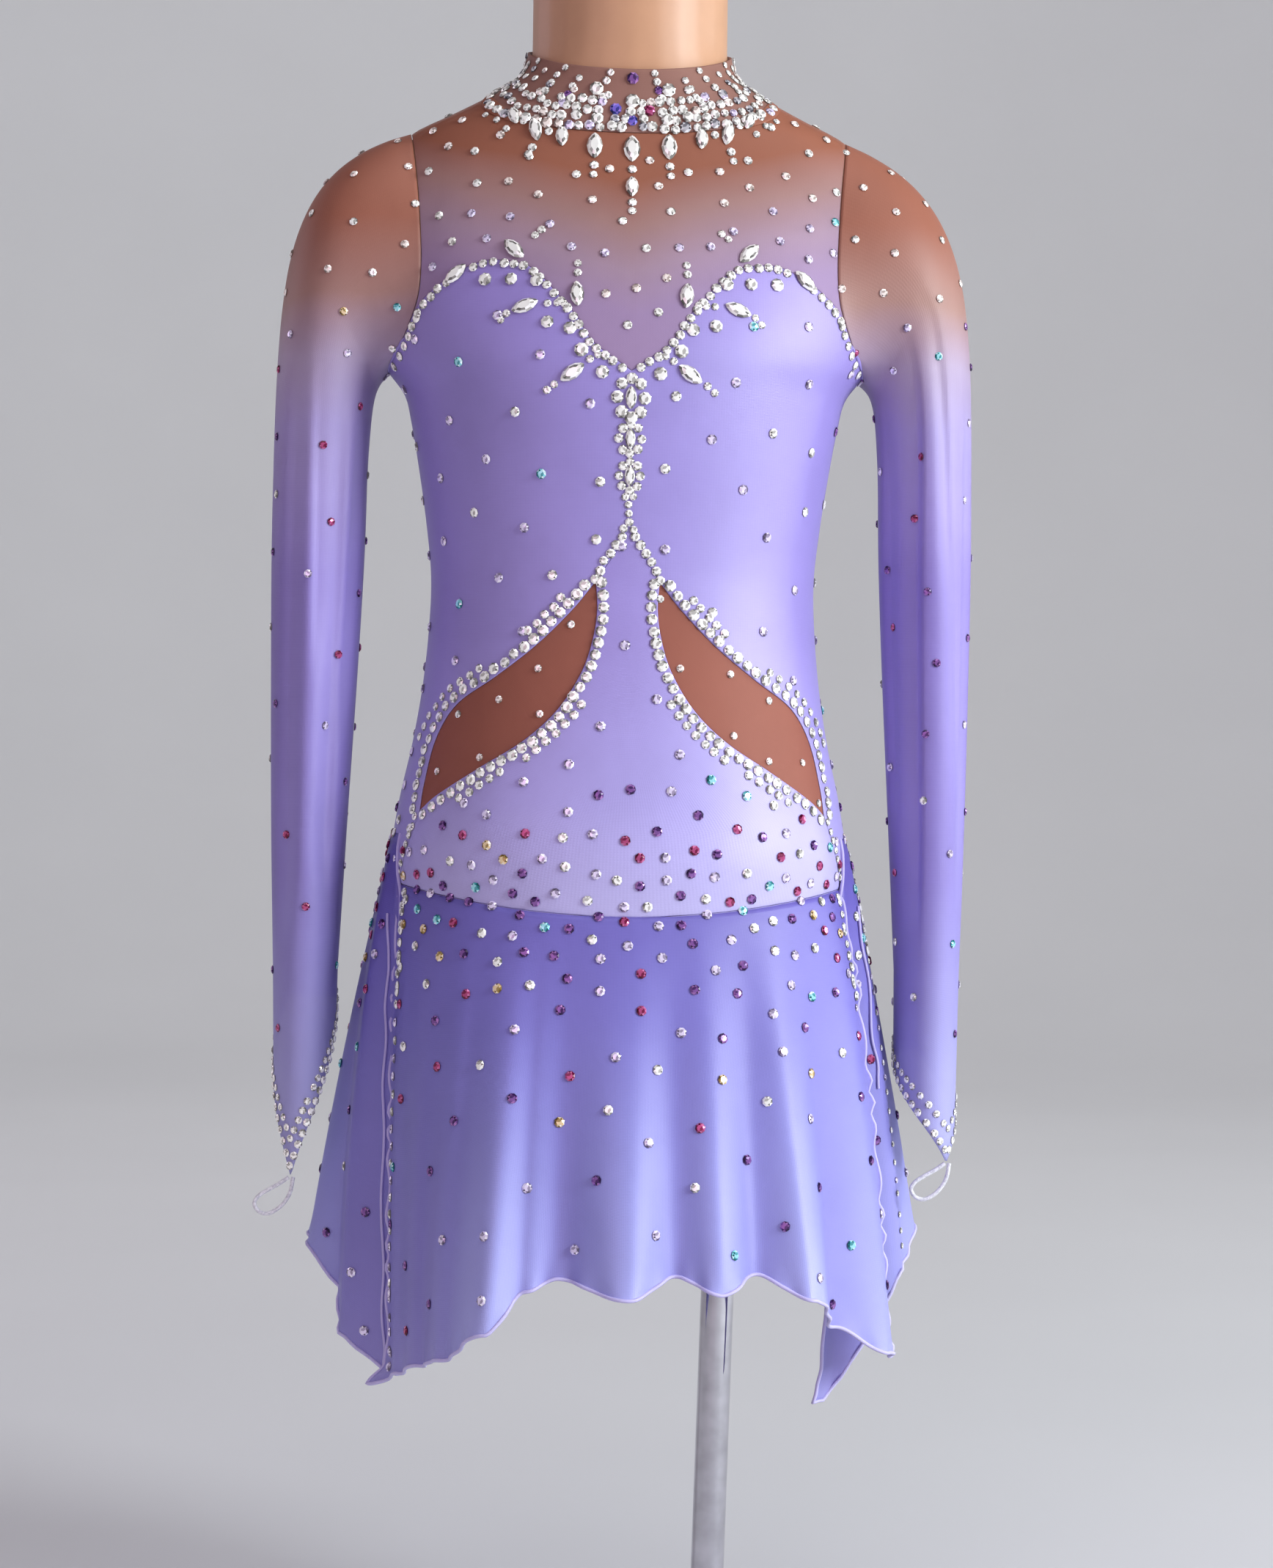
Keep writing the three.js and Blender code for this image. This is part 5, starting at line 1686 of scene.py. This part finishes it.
    def bust(self):
        """The sweetheart line, the sprays beside it and the flowers down the centre front."""
        tray = StoneTray(7)
        heart = smooth_line(SWEETHEART, 120)
        crossing = [BUST_MARQUISES[k][:2] for k in (0, 1, 3)]
        for x, z in along_line(offset_line(heart, -1.6), 5.4, start=5):
            if min(math.hypot(x - a, z - b) for a, b in crossing) > 6:
                self.both(tray, [(x, z)], self.trim)
        armhole = ARMHOLE_LINE[(ARMHOLE_LINE[:, 1] < 727) & (ARMHOLE_LINE[:, 1] > 702)]
        self.both(tray, along_line(armhole - (2.2, 1.5), 5.6), self.trim)
        self.both(tray, BUST_ROUNDS, 7.4)
        sprays = [
            (50.5, 765.8), (47, 768.6), (43.5, 728.4), (38.5, 728.8), (33.5, 727),
            (65, 723.6), (68, 720.4), (28.6, 745.5), (28.3, 750.4), (21.5, 699.2),
            (17.4, 701.6), (40, 686.5), (43.6, 683.4), (35.2, 728.5),
        ]
        self.both(tray, sprays, 4.4)
        flowers = [(679.7, 6.8, 10.2, 6.6), (658.7, 5.7, 7.6, 5.2), (639.7, 5.4, 7.4, 4.9)]
        for z, wide, tall, size in flowers:
            for k in range(8):
                turn = math.pi / 2 + k * math.pi / 4
                place = (wide * math.cos(turn), z + tall * math.sin(turn))
                self.on_front(tray, [place], size)
        stem = [(-2.2, 629), (2.2, 629), (0, 624.6), (0, 620.4), (0, 616.2), (-2.3, 612.3),
                (2.3, 612.3)]
        self.on_front(tray, stem, 4.4)
        placed(tray.build("bodice_stones"), "crystal")

    def front_lines(self):
        """The lines along the leaf insets and down to the skirt."""
        tray = StoneTray(11)
        upper, lower = smooth_line(LEAF_UPPER, 120), smooth_line(LEAF_LOWER, 120)
        arm = smooth_line([(3.5, 608.5), (8.5, 601), (13.5, 593.5), (16.7, 586)], 30)
        self.both(tray, along_line(arm, 5.0), self.trim)
        self.both(tray, along_line(offset_line(upper, 3.2), 6.5, start=5), 6.2)
        self.both(tray, along_line(offset_line(lower, -3.2), 6.4, start=1), 6.1)
        for line, low, high in (
            (offset_line(upper, 8.3), 14, 34), (offset_line(upper, 8.1), 58, 92),
            (offset_line(lower, -8.2), 46, 74), (offset_line(lower, -8.0), 84, 104),
        ):
            self.both(tray, along_line(line[low:high], 6.4), 5.1)
        side = smooth_line([(109.5, 461), (113.5, 449), (117, 436), (118.6, 426)], 20)
        self.both(tray, along_line(side, 5.0), 4.4)
        placed(tray.build("front_line_stones"), "crystal")

    def slits_and_cuffs(self):
        tray = StoneTray(13)
        self.slit(tray, "skirt_front", 7, 5.3)
        self.slit(tray, "skirt_front", -6, 4.4, end=70.0)
        self.slit(tray, "skirt_back", 14, 3.6)
        for _, name in SIDES:
            points, normals = SHEETS[f"sleeve_{name}"]
            for row, size in ((1, 4.6), (4, 4.2)):
                ring = points[row]
                steps = np.linalg.norm(np.roll(ring, -1, axis=0) - ring, axis=1)
                passed = 0.0
                for point, normal, step in zip(ring, normals[row], steps):
                    passed += step
                    if passed >= 5.4:
                        tray.add_round(point, normal, size)
                        passed = 0.0
        placed(tray.build("slit_and_cuff_stones"), "crystal")

    def slit(self, tray, sheet, column, size, end=math.inf):
        """Stones down a slit's edge, close at the top; the end is a way down it."""
        points, normals = SHEETS[sheet]
        line, facing = points[::-1, column], normals[::-1, column]
        run = run_along(line)
        at = 3.0
        while at < min(run[-1] - 5, end):
            k = int(np.argmin(np.abs(run - at)))
            close = at < SLIT_CLOSE_END
            colour = "clear" if close else tray.random.choice(("lilac", "clear"))
            tray.add_round(line[k], facing[k], 5.6 if close and at > 35 else size, colour)
            at += (5.4 if close else 9.2) + tray.random.uniform(-0.5, 0.5)

    def strew(self):
        """Scattered stones over every sheet but the collar's."""
        tray = StoneTray(17)
        trims = TrimZone()
        for seed, (name, (points, normals)) in enumerate(SHEETS.items(), start=41):
            for start, inner, gap, size, colours, by_trims in STREWN:
                if name.startswith(start):
                    keep = trims.clear if by_trims else None
                    width = size or self.strewn
                    scatter(tray, points[inner], normals[inner], gap, width, colours, seed, keep)
        placed(tray.build("strewn_stones"), "crystal")


class TrimZone:
    """Places on the front where the trims already lie."""

    def __init__(self):
        self.lines = np.vstack([smooth_line(t) for t in (SWEETHEART, LEAF_UPPER, LEAF_LOWER)])
        spots = BUST_MARQUISES + COLLAR_MARQUISES + CENTRE_MARQUISES + BUST_ROUNDS[:5]
        self.spots = np.array([spot[:2] for spot in spots], float)

    def clear(self, point):
        """Whether a point is at the back or away from the lines, the flowers and the spots."""
        if point[1] > 0:
            return True
        x, z = abs(point[0]), point[2]
        if np.min(np.hypot(self.lines[:, 0] - x, self.lines[:, 1] - z)) < 10:
            return False
        if x < 13 and 606 < z < 700:
            return False
        return np.min(np.hypot(self.spots[:, 0] - x, self.spots[:, 1] - z)) > 11


# ---- Operators: the stage ------------------------------------------------------------------


class DRESS_OT_stage(bpy.types.Operator):
    """Lay the pale floor, set the soft lights and place the camera."""

    bl_idname = "dress.stage"
    bl_label = "Stage"

    def execute(self, context):
        self.cove()
        self.lights(context.scene)
        self.camera(context.scene)
        context.scene.view_settings.view_transform = "Standard"
        return {"FINISHED"}

    def cove(self):
        """A round floor that runs up into a wall through a quarter circle."""
        floor, bend, wall_top = 3500, 2500, 5200
        profile = [(50, -0.5), (floor - 200, -0.5), (floor, -0.5)]
        for step in range(1, 16):
            turn = math.radians(6 * step)
            rise = bend * (1 - math.cos(turn))
            profile.append((floor + bend * math.sin(turn), rise - 0.5))
        profile.append((floor + bend, wall_top))
        cove = turned("stage_cove", profile, FINISHES["floor"], 96, capped=False)
        only(cove)
        bpy.ops.object.mode_set(mode="EDIT")
        bpy.ops.mesh.select_all(action="SELECT")
        bpy.ops.mesh.flip_normals()
        bpy.ops.object.mode_set(mode="OBJECT")

    def lights(self, scene):
        """Soft lights on the dress, and one on each quarter of the wall."""
        world = bpy.data.worlds.new("studio")
        scene.world = world
        world.use_nodes = True
        backdrop = world.node_tree.nodes["Background"]
        backdrop.inputs["Color"].default_value = (0.80, 0.72, 0.90, 1)
        backdrop.inputs["Strength"].default_value = 0.1
        lamps = (
            ("key", (2.5, -1.6, 1.5), 1.2, 98, scene.stage_settings.key_colour),
            ("fill", (-1.2, -2.6, 1.0), 1.6, 9, (1.0, 0.48, 0.78)),
            ("rim_left", (-2.6, 1.3, 1.5), 1.2, 7, (0.95, 0.80, 1.0)),
            ("rim_right", (3.0, 0.5, 1.1), 0.7, 22, (0.9, 0.97, 1.0)),
            ("top", (0.2, -0.9, 3.0), 1.6, 15, (1.0, 1.0, 1.0)),
        )
        for name, place, size, watts, colour in lamps:
            self.hang(name, place, (0, 0, 0.55), size, watts, colour)
        walls = (("back", 0, 1, 58), ("front", 0, -1, 14), ("left", 1, 0, 18), ("right", -1, 0, 8))
        for name, x, y, watts in walls:
            place, target = (2.2 * x, 2.2 * y, 3.6), (6 * x, 6 * y, 0.4)
            self.hang(f"wall_{name}", place, target, 2.4, watts, (1.0, 1.0, 1.0))

    def hang(self, name, place, target, size, watts, colour):
        """Hang one square soft light and turn it towards its target."""
        data = bpy.data.lights.new(name, "AREA")
        data.shape = "SQUARE"
        data.size = size
        data.energy = watts
        data.color = colour
        lamp = new_object(name, data)
        lamp.location = place
        aim = Vector(target) - Vector(place)
        lamp.rotation_euler = aim.to_track_quat("-Z", "Y").to_euler()

    def camera(self, scene):
        stage = scene.stage_settings
        data = bpy.data.cameras.new("camera")
        data.lens = stage.lens
        camera = new_object("camera", data)
        turn, roll = stage.azimuth, stage.roll
        forward = Vector((-math.sin(turn), math.cos(turn), 0))
        level = Vector((math.cos(turn), math.sin(turn), 0))
        right = level * math.cos(roll) + Vector((0, 0, 1)) * math.sin(roll)
        up = right.cross(forward)
        place = Vector((stage.shift, 0, stage.height)) - forward * stage.distance
        turned_axes = Matrix((right, up, -forward)).transposed().to_4x4()
        camera.matrix_world = Matrix.Translation(place) @ turned_axes
        scene.camera = camera


# ---- Panel and registration ----------------------------------------------------------------

OPERATORS = (
    DRESS_OT_stand,
    DRESS_OT_collar_yoke,
    DRESS_OT_bodice,
    DRESS_OT_sleeves,
    DRESS_OT_skirt,
    DRESS_OT_stones,
    DRESS_OT_stage,
)


class DRESS_PT_panel(bpy.types.Panel):
    """Lists the dress's pieces and sizes."""

    bl_idname = "DRESS_PT_panel"
    bl_label = "Skating Dress"
    bl_space_type = "VIEW_3D"
    bl_region_type = "UI"
    bl_category = "Skating Dress"

    def draw(self, context):
        for group in (context.scene.dress_settings, context.scene.stage_settings):
            for name in group.bl_rna.properties.keys():
                if name not in ("rna_type", "name"):
                    self.layout.prop(group, name)
        for operator in OPERATORS:
            self.layout.operator(operator.bl_idname)


CLASSES = (DressSettings, StageSettings, *OPERATORS, DRESS_PT_panel)


def register():
    for cls in CLASSES:
        bpy.utils.register_class(cls)
    bpy.types.Scene.dress_settings = PointerProperty(type=DressSettings)
    bpy.types.Scene.stage_settings = PointerProperty(type=StageSettings)


def unregister():
    del bpy.types.Scene.stage_settings
    del bpy.types.Scene.dress_settings
    for cls in reversed(CLASSES):
        bpy.utils.unregister_class(cls)


def main():
    register()
    for operator in OPERATORS:
        group, name = operator.bl_idname.split(".")
        getattr(getattr(bpy.ops, group), name)()


if __name__ == "__main__":
    main()
